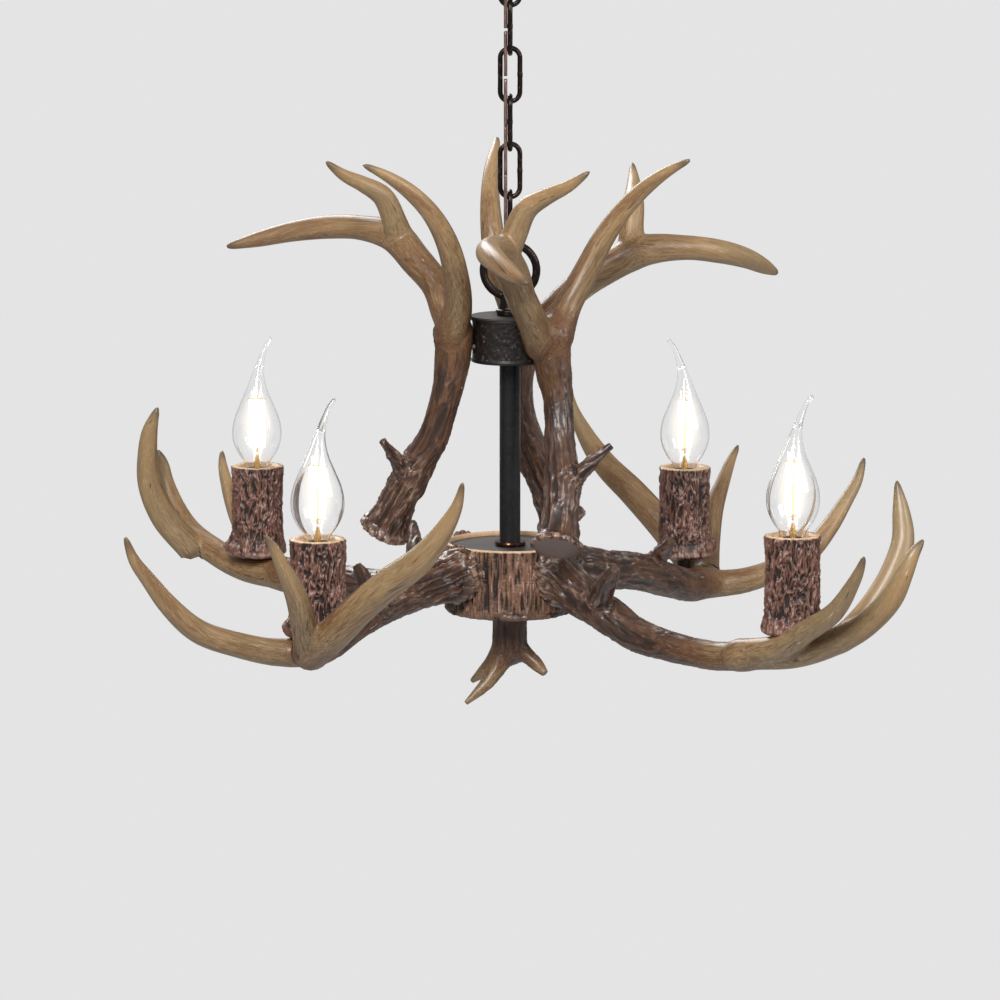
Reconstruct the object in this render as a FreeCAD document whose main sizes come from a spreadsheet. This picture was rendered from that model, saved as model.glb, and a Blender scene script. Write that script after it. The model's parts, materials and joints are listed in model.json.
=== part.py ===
"""Four-light antler chandelier on a chain, modelled as an assembly of separate pieces.

Millimetres. The origin is on the ceiling plane, on the chain's axis, and +Z is up, so the
whole light hangs at negative Z. Heights inside the light are given from the rim of the
lower hub (hub height 0) and moved down by the drop when a piece is placed.
"""
import FreeCAD, Part
import math
import os
import Sketcher

V = FreeCAD.Vector
Z_UP = V(0, 0, 1)

DOC = FreeCAD.newDocument("AntlerChandelier")
SHEET = DOC.addObject("Spreadsheet::Sheet", "Sizes")


class Size:
    """A length with the sheet expression that gives it."""

    def __init__(self, value, text):
        self.value = float(value)
        self.text = text

    def __add__(self, other):
        other = as_size(other)
        return Size(self.value + other.value, "(%s + %s)" % (self.text, other.text))

    def __sub__(self, other):
        other = as_size(other)
        return Size(self.value - other.value, "(%s - %s)" % (self.text, other.text))

    def __mul__(self, factor):
        return Size(self.value * factor, "(%s * %s)" % (self.text, factor))

    def __truediv__(self, factor):
        return Size(self.value / factor, "(%s / %s)" % (self.text, factor))


def as_size(number):
    """Plain numbers and sizes are both accepted wherever a length is asked for."""
    if isinstance(number, Size):
        return number
    return Size(number, repr(float(number)))


def cell(alias, value):
    """One driving dimension: a row of the sheet with the name beside it."""
    row = cell.next_row
    cell.next_row += 1
    SHEET.set("A%d" % row, alias)
    SHEET.set("B%d" % row, str(value))
    SHEET.setAlias("B%d" % row, alias)
    return Size(value, "Sizes." + alias)


cell.next_row = 1

# Heights measured from the lower hub's rim.
DROP = cell("ceiling_above_rim", 500.0)
UPPER_HUB_BASE = cell("upper_hub_base", 124.0)
RING_HEIGHT = cell("loop_ring_height", 186.2)

# Chain and loops.
LINK_WIRE = cell("link_wire", 3.4)
LINK_LENGTH = cell("link_length", 39.4)
LINK_WIDTH = cell("link_width", 16.7)
END_LINK_LENGTH = cell("end_link_length", 43.8)
LINK_PLAY = cell("link_play", 0.3)
LINK_COUNT = 7
RING_OUTER = cell("ring_outer", 41.5)
RING_WIRE = cell("ring_wire", 5.6)
RING_NECK = cell("ring_neck", 13.0)
RING_COLLAR = cell("ring_collar", 20.0)
COLLAR_HIGH = cell("collar_high", 4.5)
CORD_BORE = cell("cord_bore", 6.0)
STRAND = cell("cord_strand", 2.4)
STRAND_STEP = cell("cord_strand_step", 2.5)

# Threaded pipe and nuts, M10 on every joint of the light.
PIPE = cell("pipe_outer", 9.8)
PIPE_BORE = cell("pipe_bore", 7.0)
NUT_ACROSS = cell("nut_across_corners", 16.0)
NUT_HIGH = cell("nut_high", 4.0)

# Ceiling fitting.
CANOPY = cell("canopy_outer", 120.0)
CANOPY_HIGH = cell("canopy_high", 26.0)
CANOPY_SHEET = cell("canopy_sheet", 1.2)
BRACKET_LONG = cell("bracket_long", 106.0)
BRACKET_WIDE = cell("bracket_wide", 22.0)
BRACKET_THICK = cell("bracket_thick", 2.2)
SLOT_SPACING = cell("slot_spacing", 88.9)
SLOT_LONG = cell("slot_long", 12.0)
SLOT_WIDE = cell("slot_wide", 4.6)

# Stem and hubs.
STEM = cell("stem_outer", 14.3)
STEM_BORE = cell("stem_bore", 10.2)
WASHER = cell("washer_outer", 21.5)
WASHER_HIGH = cell("washer_high", 3.0)
UPPER_HUB = cell("upper_hub_outer", 53.0)
UPPER_HUB_HIGH = cell("upper_hub_high", 30.3)
UPPER_WALL = cell("upper_hub_wall", 2.5)
UPPER_PLATE = cell("upper_plate_outer", 54.0)
UPPER_PLATE_HIGH = cell("upper_plate_high", 1.2)
LOWER_HUB = cell("lower_hub_outer", 89.0)
LOWER_HUB_HIGH = cell("lower_hub_high", 48.0)
LOWER_WALL = cell("lower_hub_wall", 4.0)
LOWER_FLOOR = cell("lower_hub_floor", 5.0)
RIM_WALL = cell("rim_wall", 2.5)
PLATE_INSET = cell("plate_inset", 3.0)
PLATE_HIGH = cell("plate_high", 2.0)
SCREW = cell("screw", 4.0)
SCREW_HEAD = cell("screw_head", 8.0)
HOLE_PLAY = 0.4

# Candle sleeves, sockets and bulbs.
SLEEVE_TOP = cell("sleeve_top_outer", 37.2)
SLEEVE_WAIST = cell("sleeve_waist_outer", 35.4)
SLEEVE_FOOT = cell("sleeve_foot_outer", 40.0)
SLEEVE_HIGH = cell("sleeve_high", 65.0)
SLEEVE_BORE = cell("sleeve_bore", 24.4)
SLEEVE_FLOOR = cell("sleeve_floor", 8.0)
SOCKET = cell("socket_outer", 23.8)
SOCKET_BORE = cell("socket_bore", 14.7)
SOCKET_HIGH = cell("socket_high", 34.0)
SOCKET_INSET = cell("socket_inset", 4.0)
CAP = cell("bulb_cap_outer", 14.0)
CAP_HIGH = cell("bulb_cap_high", 26.0)
BULB_INSET = cell("bulb_inset", 2.0)
GLASS_WALL = cell("glass_wall", 0.9)
BULB = cell("bulb_outer", 35.0)
FILAMENT = cell("filament_outer", 1.8)
BRANCH_WIRE = cell("branch_wire", 4.4)
CHANNEL = cell("antler_channel", 7.0)
TINE_SCALE = cell("tine_scale", 1.0)
BOSS = cell("antler_boss", 18.0)

# Antler castings. Each row is a point on the tine's centreline and the radius there:
# x, y, z, radius, with z from the lower hub's rim and the casting in its first position.
# Only the casting at the front left of each kind is listed: the others are copies of it.
UPPER_TINES = {
    "beam": [(-86, 9, 6, 15.5), (-77, 1, 26, 12.5), (-67, -6, 47, 12.3),
             (-52, -12, 74, 10.3), (-43, -15, 103, 10.4), (-39, -13, 125, 12.3),
             (-38, -12, 145, 13)],
    "inner": [(-40, -15, 145, 11.5), (-35, -26, 164, 9.5), (-36, -38, 185, 8.7),
              (-42, -49, 210, 7.6), (-53, -59, 231, 6.3), (-68, -68, 247, 5.1),
              (-82, -75, 257, 3.6), (-97, -83, 265, 1.6)],
    "long": [(-36, -5, 139, 11.5), (-43, 6, 155, 10.5), (-50, 19, 173, 10.3),
             (-65, 34, 190, 11), (-77, 49, 202, 11), (-104, 72, 208, 8.5),
             (-126, 86, 207, 8.2), (-152, 94, 203, 7.1), (-177, 97, 197, 5.2),
             (-198, 97, 192, 2)],
    "upright": [(-74, 46, 200, 9.5), (-79, 41, 215, 8.5), (-87, 36, 233, 7.4),
                (-100, 28, 242, 5.6), (-113, 20, 249, 4.1), (-125, 11, 259, 1.6)],
    "brow": [(-70, -7, 45, 6.5), (-78, -19, 60, 5), (-86, -32, 74, 2.3)],
}
FORKED_TINES = {
    "beam": [(-25, -20, -17, 16.5), (-40, -33, -20, 16), (-54, -47, -23, 14),
             (-77, -75, -27, 13), (-100, -101, -36, 12), (-120, -138, -45, 11.5),
             (-131, -168, -45, 11)],
    "low": [(-124, -146, -45, 10.5), (-138, -159, -47, 9.8), (-154, -164, -46, 9),
            (-177, -171, -40, 8.3), (-202, -182, -29, 7.8), (-220, -194, -10, 6.6),
            (-232, -203, 8, 5.1), (-241, -211, 23, 3.7), (-246, -218, 39, 1.6)],
    "upright": [(-131, -176, -44, 9.5), (-133, -197, -23, 8.5), (-137, -215, 0, 7.3),
                (-144, -227, 19, 5.2), (-150, -236, 34, 3.4), (-155, -242, 44, 1.6)],
    "tall": [(-129, -178, -44, 11.5), (-116, -195, -30, 11.5), (-99, -208, -11, 10.8),
             (-78, -225, 10, 10.2), (-56, -244, 30, 8.8), (-42, -257, 50, 6.2),
             (-34, -265, 66, 3.8), (-30, -275, 83, 1.4)],
    "brow": [(-87, -97, -28, 8.5), (-95, -85, -17, 6.5), (-102, -73, -5, 3.6)],
}
FANNED_TINES = {
    "beam": [(24, -24, -14, 16.5), (35, -33, -21, 16), (47, -46, -29, 14),
             (64, -62, -39, 12.8), (87, -80, -51, 11.5), (108, -99, -55, 10.5),
             (135, -120, -57, 10), (156, -138, -54, 9.5)],
    "outer": [(152, -136, -53, 9.8), (186, -157, -49, 8.9), (210, -178, -37, 8.8),
              (230, -197, -21, 8.3), (245, -207, -2, 7.5), (252, -212, 14, 5.8),
              (257, -212, 26, 4.5), (264, -210, 36, 1.8)],
    "front": [(152, -136, -53, 9.5), (177, -162, -43, 8.5), (192, -186, -28, 7.5),
              (208, -210, -11, 6.4), (217, -230, 9, 4.6), (221, -243, 22, 3.2),
              (223, -252, 32, 1.5)],
    "high": [(215, -180, -34, 7.6), (234, -180, -13, 8.1), (248, -173, 9, 7.9),
             (255, -165, 28, 7.5), (254, -160, 46, 5.8), (251, -156, 66, 1.6)],
    "brow": [(59, -64, -31, 8.5), (64, -84, -16, 6.5), (70, -102, -2, 3.6)],
}
SWEPT_TINES = {
    "beam": [(24, -24, -14, 16.5), (35, -33, -21, 16), (47, -46, -29, 14),
             (64, -62, -37, 13), (88, -80, -45, 12.3), (110, -100, -46, 12),
             (136, -121, -49, 12), (157, -139, -48, 12)],
    "outer": [(153, -136, -48, 11.5), (187, -157, -47, 10), (213, -178, -38, 9.3),
              (234, -197, -25, 8.4), (247, -208, -7, 7), (253, -212, 7, 5.6),
              (256, -212, 19, 4.3), (260, -210, 29, 1.6)],
    "front": [(152, -137, -49, 9.5), (174, -162, -43, 8.7), (187, -186, -30, 7.7),
              (200, -210, -13, 6), (209, -230, 5, 4.6), (214, -243, 18, 3.2),
              (216, -252, 28, 1.5)],
    "high": [(228, -180, -39, 10), (250, -178, -16, 9.6), (261, -172, 8, 8.6),
             (263, -164, 28, 7.2), (262, -159, 46, 5.6), (257, -155, 64, 1.6)],
    "brow": [(59, -64, -31, 8.5), (64, -84, -16, 6.5), (68, -102, -2, 3.6)],
}
FINIAL_TINES = {
    "stem": [(0, 0, -48, 12.4), (0, 0, -58, 11.8), (0, 0, -68, 11.5), (1, 0, -76, 10.5)],
    "left": [(-1, 0, -70, 9), (-7, -4, -84, 6.8), (-15, -10, -96, 5), (-30, -20, -109, 1.6)],
    "right": [(2, 0, -71, 8), (12, -4, -79, 5.2), (19, -8, -85, 4.5), (24, -12, -90, 2.5)],
    "back": [(-3, 4, -73, 8), (-11, 14, -87, 6), (-19, 22, -96, 4), (-26, 28, -103, 1.8)],
}

# Each antler: name, tines, turn about the light's axis, and the small lean and shift that
# its own screw gives it, about the point where it is fastened.
UPPER_PIVOT = V(-27, 0, 140)
UPPER_ANTLERS = [
    ("left", 0, (0, 0, 0), (0, 0, 0)),
    ("right", 120, (2.0, 1.9, -1.0), (2.3, 0.3, 0)),
    ("back", 240, (-4.8, -4.3, 0), (0.7, 1.4, 0.1)),
]
FORKED_PIVOT = V(-35, -25, -25)
FANNED_PIVOT = V(35, -25, -25)
LOWER_ANTLERS = [
    ("front_left", FORKED_TINES, FORKED_PIVOT, 0, (0, 0, 0), (0, 0, 0)),
    ("back_right", FORKED_TINES, FORKED_PIVOT, 180, (1.8, -0.8, -0.5), (-10.3, 0, -4.7)),
    ("front_right", FANNED_TINES, FANNED_PIVOT, 0, (0, 0, 0), (0, 0, 0)),
    ("back_left", SWEPT_TINES, FANNED_PIVOT, 180, (3.9, -3.9, -1.1), (4, 0, 0)),
]
# Rows of each beam that its wire channel passes through.
CHANNEL_ROWS = {"front_left": (3, 4), "back_right": (3, 4),
                "front_right": (3, 4, 6), "back_left": (3, 5)}
# Where the leads end in the terminal block, then how they go round to each root, measured
# from the light's axis and the lower hub's rim.
LEADS = {
    "front_left": [V(-5.5, -28, -35), V(-8, -26, -23)],
    "front_right": [V(5.5, -28, -35), V(8, -26, -23)],
    "back_left": [V(-10, -29.5, -37), V(-22, -16, -36), V(-25, 0, -27)],
    "back_right": [V(10, -29.5, -37), V(22, -16, -36), V(25, 0, -27)],
}

# Height of the upper antlers' screws, of the hollow nipples through the lower hub's wall and
# of the terminal block, and how far in and out from the light's axis each nipple reaches.
BOSS_HEIGHT = 135.0
ROOT_HEIGHT = -19.0
BLOCK_TOP = -31.0
ROOT_INSIDE = 31.0
ROOT_REACH = 60.0
GROUND_SCREW_X = 24.0
# How far a thread goes into an antler and into the finial.
THREAD_DEEP = 8.0
FINIAL_THREAD = 12.0
# The widest bends of the branch wires and of the cord, and how far below a sleeve the branch
# wire turns up into it and how far past the root nipple it turns to follow the beam.
WIRE_BEND = 6.0
WIRE_TURN_DEEP = 13.5
ROOT_TURN = 3.0
CORD_BEND = 200.0

# Candle sleeves: centre of the top face above each lower antler.
FORKED_SLEEVE = V(-125.5, -157, 27.6)
FANNED_SLEEVE = V(184, -152, 29.3)
SWEPT_SLEEVE = V(-180.5, 152, 29.3)
SLEEVES = {
    "front_left": FORKED_SLEEVE,
    "back_right": V(-FORKED_SLEEVE.x, -FORKED_SLEEVE.y, FORKED_SLEEVE.z),
    "front_right": FANNED_SLEEVE,
    "back_left": SWEPT_SLEEVE,
}
# Where the flame tip of each bulb leans when the bulb is screwed tight, in degrees.
TIP_TURN = {"front_left": 20, "front_right": 10, "back_left": 35, "back_right": 170}

NODES = []


def at(point, height_offset=0.0):
    """A point given from the lower hub's rim, moved to the light's own frame."""
    return V(point.x, point.y, point.z - DROP.value + height_offset)


def bind(item, prop, size):
    """Ties one property of an object to the sheet."""
    item.setExpression(prop, as_size(size).text)


def node(item, label):
    """Marks a finished piece, which is exported under its label."""
    item.Label = label
    NODES.append(item)
    return item


def turn_to(direction):
    """The rotation that points +Z along a direction."""
    return FreeCAD.Rotation(Z_UP, direction)


def cylinder(name, diameter, length, base, direction=Z_UP):
    """A round bar from its base point along a direction."""
    item = DOC.addObject("Part::Cylinder", name)
    bind(item, "Radius", as_size(diameter) / 2)
    bind(item, "Height", length)
    item.Placement = FreeCAD.Placement(base, turn_to(direction))
    return item


def box(name, size_x, size_y, size_z, corner):
    """A block from its lowest corner."""
    item = DOC.addObject("Part::Box", name)
    bind(item, "Length", size_x)
    bind(item, "Width", size_y)
    bind(item, "Height", size_z)
    item.Placement = FreeCAD.Placement(corner, FreeCAD.Rotation())
    return item


def fuse(name, items):
    """Several solids joined into one."""
    item = DOC.addObject("Part::MultiFuse", name)
    item.Shapes = items
    return item


def cut(name, base, tool):
    """One solid with another taken away."""
    item = DOC.addObject("Part::Cut", name)
    item.Base = base
    item.Tool = tool
    return item


def cut_each(name, base, tools):
    """One solid with several others taken away, one after another."""
    for i, tool in enumerate(tools):
        base = cut("%s_%d" % (name, i), base, tool)
        base.Refine = False
    return base


def group(name, items):
    """Separate alike solids kept together as one piece group."""
    item = DOC.addObject("Part::Compound", name)
    item.Links = items
    return item


def origin_plane(body, role):
    """One of the body's own origin planes."""
    return [f for f in body.Origin.OriginFeatures if f.Role == role][0]


def turned(name, outline, place):
    """A turned piece: the closed outline of (diameter, height) corners swept round Z."""
    body = DOC.addObject("PartDesign::Body", name)
    sketch = body.newObject("Sketcher::SketchObject", name + "_outline")
    sketch.AttachmentSupport = [(origin_plane(body, "XZ_Plane"), "")]
    sketch.MapMode = "FlatFace"
    corners = [(as_size(d) / 2, as_size(height)) for d, height in outline]
    for i, (radius, height) in enumerate(corners):
        next_radius, next_height = corners[(i + 1) % len(corners)]
        start = V(radius.value, height.value, 0)
        end = V(next_radius.value, next_height.value, 0)
        sketch.addGeometry(Part.LineSegment(start, end))
    for i in range(len(corners)):
        after = (i + 1) % len(corners)
        sketch.addConstraint(Sketcher.Constraint("Coincident", i, 2, after, 1))
    for i, (radius, height) in enumerate(corners):
        pin_to_axis(sketch, i, "DistanceX", -2, radius)
        pin_to_axis(sketch, i, "DistanceY", -1, height)
    turn = body.newObject("PartDesign::Revolution", name + "_turn")
    turn.Profile = sketch
    turn.ReferenceAxis = (sketch, ["V_Axis"])
    turn.Angle = 360
    body.Placement = place
    return body


def pin_to_axis(sketch, line, kind, axis, size):
    """Holds the start of a line at its distance from one of the sketch's axes."""
    if abs(size.value) < 1e-9:
        sketch.addConstraint(Sketcher.Constraint("PointOnObject", line, 1, axis))
        return
    made = sketch.addConstraint(Sketcher.Constraint(kind, -1, 1, line, 1, size.value))
    sketch.setExpression("Constraints[%d]" % made, size.text)


def pocket_slots(name, body, plane_role, centres, long, wide, depth):
    """Slots of one size cut straight through a flat body."""
    sketch = body.newObject("Sketcher::SketchObject", name + "_slots")
    sketch.AttachmentSupport = [(origin_plane(body, plane_role), "")]
    sketch.MapMode = "FlatFace"
    half = (long.value - wide.value) / 2
    radius = wide.value / 2
    for x in centres:
        sketch.addGeometry(Part.LineSegment(V(x - half, radius, 0), V(x + half, radius, 0)))
        sketch.addGeometry(Part.LineSegment(V(x + half, -radius, 0), V(x - half, -radius, 0)))
        for end, start_angle in ((x + half, -90), (x - half, 90)):
            circle = Part.Circle(V(end, 0, 0), Z_UP, radius)
            first = math.radians(start_angle)
            sketch.addGeometry(Part.ArcOfCircle(circle, first, first + math.pi))
    pocket = body.newObject("PartDesign::Pocket", name + "_pocket")
    pocket.Profile = sketch
    pocket.Type = 0
    bind(pocket, "Length", depth * 3)
    pocket.Midplane = True
    return pocket


def padded_plate(name, long, wide, thick, place):
    """A flat rectangular plate, centred, with its top face at the placement."""
    body = DOC.addObject("PartDesign::Body", name)
    sketch = body.newObject("Sketcher::SketchObject", name + "_plan")
    sketch.AttachmentSupport = [(origin_plane(body, "XY_Plane"), "")]
    sketch.MapMode = "FlatFace"
    x, y = long.value / 2, wide.value / 2
    corners = [V(-x, -y, 0), V(x, -y, 0), V(x, y, 0), V(-x, y, 0)]
    for i in range(4):
        sketch.addGeometry(Part.LineSegment(corners[i], corners[(i + 1) % 4]))
    for i in range(4):
        sketch.addConstraint(Sketcher.Constraint("Coincident", i, 2, (i + 1) % 4, 1))
    for i in (0, 2):
        sketch.addConstraint(Sketcher.Constraint("Horizontal", i))
        sketch.addConstraint(Sketcher.Constraint("Vertical", i + 1))
    sketch.addConstraint(Sketcher.Constraint("Symmetric", 0, 1, 2, 1, -1, 1))
    length = sketch.addConstraint(Sketcher.Constraint("DistanceX", 0, 1, 0, 2, long.value))
    width = sketch.addConstraint(Sketcher.Constraint("DistanceY", 1, 1, 1, 2, wide.value))
    sketch.setExpression("Constraints[%d]" % length, long.text)
    sketch.setExpression("Constraints[%d]" % width, wide.text)
    pad = body.newObject("PartDesign::Pad", name + "_pad")
    pad.Profile = sketch
    pad.Reversed = True
    bind(pad, "Length", thick)
    body.Placement = place
    return body


def level(height, x=0.0, y=0.0, turn=0.0):
    """A placement at a height from the lower hub's rim, turned about Z."""
    return FreeCAD.Placement(at(V(x, y, as_size(height).value)), FreeCAD.Rotation(Z_UP, turn))


# ---------------------------------------------------------------- tubes along centrelines

def tangents(points):
    """The direction of a smooth curve through the points, at each of them."""
    result = []
    for i in range(len(points)):
        before = points[max(i - 1, 0)]
        after = points[min(i + 1, len(points) - 1)]
        result.append((after - before).normalize())
    return result


def tine(name, rows):
    """A tapering tube lofted through round sections square to its centreline."""
    points = [V(x, y, z) for x, y, z, radius in rows]
    directions = tangents(points)
    rotation = turn_to(directions[0])
    sections = []
    for i, row in enumerate(rows):
        if i:
            rotation = FreeCAD.Rotation(directions[i - 1], directions[i]) * rotation
        circle = DOC.addObject("Part::Circle", "%s_section_%d" % (name, i))
        bind(circle, "Radius", TINE_SCALE * row[3])
        circle.Placement = FreeCAD.Placement(points[i], rotation)
        sections.append(circle)
    loft = DOC.addObject("Part::Loft", name)
    loft.Sections = sections
    loft.Solid = True
    loft.Ruled = False
    return loft


def casting(name, tines, place):
    """All tines of one casting joined, then moved to where the antler is fastened."""
    joined = fuse(name, [tine("%s_%s" % (name, key), rows) for key, rows in tines.items()])
    joined.Placement = place
    return joined


def lean(pivot, angles, shift, turn):
    """The lean and shift about the fastening point, then the turn about the light's axis."""
    rotation = FreeCAD.Rotation(V(*angles), V(*angles).Length)
    moved = FreeCAD.Placement(V(*shift), rotation, pivot)
    about_axis = FreeCAD.Placement(V(0, 0, -DROP.value), FreeCAD.Rotation(Z_UP, turn))
    return about_axis.multiply(moved)


def route(name, points, widest):
    """A wire of straight runs joined by tangent arcs, as wide as the runs allow."""
    edges = []
    here = points[0]
    for before, corner, after in zip(points, points[1:], points[2:]):
        back = before - corner
        ahead = after - corner
        half_turn = (math.pi - back.getAngle(ahead)) / 2
        reach = min(0.45 * min(back.Length, ahead.Length), widest * math.tan(half_turn))
        back.normalize()
        ahead.normalize()
        start = corner + back * reach
        end = corner + ahead * reach
        bisector = (back + ahead).normalize()
        radius = reach / math.tan(half_turn)
        print("  %s bend radius %.0f mm" % (name, radius))
        middle = corner + bisector * (math.hypot(radius, reach) - radius)
        edges.append(Part.LineSegment(here, start).toShape())
        edges.append(Part.Arc(start, middle, end).toShape())
        here = end
    edges.append(Part.LineSegment(here, points[-1]).toShape())
    item = DOC.addObject("Part::Feature", name)
    item.Shape = Part.Wire(edges)
    return item


def swept(name, points, diameter, widest):
    """A round tube of constant section along a route."""
    path = route(name + "_route", points, widest)
    section = DOC.addObject("Part::Circle", name + "_section")
    bind(section, "Radius", as_size(diameter) / 2)
    direction = (points[1] - points[0]).normalize()
    section.Placement = FreeCAD.Placement(points[0], turn_to(direction))
    sweep = DOC.addObject("Part::Sweep", name)
    sweep.Sections = [section]
    sweep.Spine = (path, ["Edge%d" % (i + 1) for i in range(len(path.Shape.Edges))])
    sweep.Solid = True
    sweep.Frenet = False
    return sweep


# ------------------------------------------------------------------------ ceiling fitting

def ceiling_fitting():
    """Bracket screwed to the ceiling box, canopy, threaded nipple and hanging loop."""
    bracket = padded_plate("Bracket", BRACKET_LONG, BRACKET_WIDE, BRACKET_THICK,
                           FreeCAD.Placement())
    half_spacing = SLOT_SPACING.value / 2
    pocket_slots("Bracket", bracket, "XY_Plane", (-half_spacing, half_spacing),
                 SLOT_LONG, SLOT_WIDE, BRACKET_THICK)
    hole = cylinder("BracketHole", PIPE, BRACKET_THICK * 3, V(0, 0, -2 * BRACKET_THICK.value))
    screw_hole = cylinder("GroundHole", SCREW, BRACKET_THICK * 3,
                          V(GROUND_SCREW_X, 0, -2 * BRACKET_THICK.value))
    node(cut("BracketDrilled", bracket, fuse("BracketHoles", [hole, screw_hole])),
         "mounting_bracket")

    neck_end = canopy_loop_height() + RING_OUTER.value / 2 + 1.0
    nipple_long = Size(-neck_end, "%.3f" % -neck_end)
    tube = cylinder("NippleBar", PIPE, nipple_long, V(0, 0, neck_end))
    bore = cylinder("NippleBore", PIPE_BORE, nipple_long, V(0, 0, neck_end))
    node(cut("Nipple", tube, bore), "bracket_nipple")
    node(nut("BracketNut", V(0, 0, -BRACKET_THICK.value - NUT_HIGH.value)), "bracket_nut")

    shank_long = 8.0
    head_high = 2.5
    shank = cylinder("GroundShank", SCREW, shank_long, V(GROUND_SCREW_X, 0, -shank_long))
    head = cylinder("GroundHead", SCREW_HEAD, head_high,
                    V(GROUND_SCREW_X, 0, -BRACKET_THICK.value - head_high))
    node(fuse("GroundScrew", [shank, head]), "ground_screw")

    rim = CANOPY
    sheet = CANOPY_SHEET
    inner = sheet * 2
    high = CANOPY_HIGH
    outline = [(rim, 0), (rim, 3), (rim - 6, 7), (rim - 18, 16), (rim - 40, 22),
               (rim - 72, high - 1), (rim - 84, high), (PIPE + HOLE_PLAY, high),
               (PIPE + HOLE_PLAY, high - sheet), (rim - 84 - inner, high - sheet),
               (rim - 72 - inner, high - sheet - 1), (rim - 40 - inner, as_size(22) - sheet),
               (rim - 18 - inner, as_size(16) - sheet), (rim - 6 - inner, as_size(7) - sheet),
               (rim - inner, as_size(3) - sheet * 0.5), (rim - inner, 0)]
    upside_down = FreeCAD.Placement(V(0, 0, 0), FreeCAD.Rotation(V(1, 0, 0), 180))
    node(turned("Canopy", outline, upside_down), "canopy")

    node(hanging_loop("CanopyLoop", canopy_loop_height(), -CANOPY_HIGH.value, -1),
         "canopy_loop")


def nut(name, base, direction=Z_UP):
    """A hexagon nut on the threaded pipe."""
    prism = DOC.addObject("Part::Prism", name + "_hexagon")
    prism.Polygon = 6
    bind(prism, "Circumradius", NUT_ACROSS / 2)
    bind(prism, "Height", NUT_HIGH)
    prism.Placement = FreeCAD.Placement(base, turn_to(direction))
    hole = cylinder(name + "_hole", PIPE, NUT_HIGH, base, direction)
    return cut(name, prism, hole)


def hanging_loop(name, ring_height, seat, side):
    """A cast ring on a neck and collar, bored for the cord and threaded for the pipe.

    ring_height and seat are heights in the light's own frame; side is 1 where the collar is
    below the ring and -1 where it is above.
    """
    ring_radius = (RING_OUTER - RING_WIRE) / 2
    ring = DOC.addObject("Part::Torus", name + "_ring")
    bind(ring, "Radius1", ring_radius)
    bind(ring, "Radius2", RING_WIRE / 2)
    ring.Placement = FreeCAD.Placement(V(0, 0, ring_height), FreeCAD.Rotation(V(1, 0, 0), 90))
    neck_tip = ring_height - side * (ring_radius.value - RING_WIRE.value / 2 - 1.0)
    neck_long = abs(neck_tip - seat)
    direction = V(0, 0, side)
    neck = cylinder(name + "_neck", RING_NECK, neck_long, V(0, 0, seat), direction)
    collar = cylinder(name + "_collar", RING_COLLAR, COLLAR_HIGH, V(0, 0, seat), direction)
    solid = fuse(name + "_solid", [ring, neck, collar])
    bore = cylinder(name + "_bore", CORD_BORE, neck_long + 2, V(0, 0, seat - side), direction)
    thread_long = abs(ring_height - side * (RING_OUTER.value / 2 + 1.0) - seat)
    thread = cylinder(name + "_thread", PIPE, thread_long, V(0, 0, seat), direction)
    return cut(name, solid, fuse(name + "_hollow", [bore, thread]))


# ---------------------------------------------------------------------------------- chain

def link_centres():
    """Height of each link's centre and its length, from the fixture's loop upwards."""
    wire = LINK_WIRE.value
    ring_wire_height = RING_HEIGHT.value + (RING_OUTER.value - RING_WIRE.value) / 2
    hook = (RING_WIRE.value + wire) / 2 + LINK_PLAY.value
    bottom = ring_wire_height - hook - DROP.value
    result = []
    for i in range(LINK_COUNT):
        length = END_LINK_LENGTH if i == 0 else LINK_LENGTH
        top = bottom + length.value - wire
        result.append(((bottom + top) / 2, length))
        bottom = top - wire - LINK_PLAY.value
    return result


def canopy_loop_height():
    """Centre of the canopy's ring, hooked by the top link."""
    centre, length = link_centres()[-1]
    top_wire = centre + (length.value - LINK_WIRE.value) / 2
    hook = (RING_WIRE.value + LINK_WIRE.value) / 2 + LINK_PLAY.value
    return top_wire - hook + (RING_OUTER.value - RING_WIRE.value) / 2


def chain_link(number, centre, length, turn):
    """An oval link of round wire: two half rings joined by two straight sides."""
    name = "Link%d" % number
    bend = (LINK_WIDTH - LINK_WIRE) / 2
    straight = length - LINK_WIDTH
    pieces = []
    for side in (1, -1):
        half = DOC.addObject("Part::Torus", "%s_bend_%d" % (name, side + 1))
        bind(half, "Radius1", bend)
        bind(half, "Radius2", LINK_WIRE / 2)
        half.Angle3 = 180
        stand = FreeCAD.Rotation(V(1, 0, 0), 90 * side)
        half.Placement = FreeCAD.Placement(V(0, 0, side * straight.value / 2), stand)
        pieces.append(half)
        pieces.append(cylinder("%s_side_%d" % (name, side + 1), LINK_WIRE, straight,
                               V(side * bend.value, 0, -straight.value / 2)))
    link = fuse(name, pieces)
    link.Placement = FreeCAD.Placement(V(0, 0, centre), FreeCAD.Rotation(Z_UP, turn))
    return link


def chain():
    """Seven links, each a quarter turn from the next."""
    for i, (centre, length) in enumerate(link_centres()):
        node(chain_link(i + 1, centre, length, 90 if i % 2 == 0 else 0),
             "chain_link_%d" % (i + 1))


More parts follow.
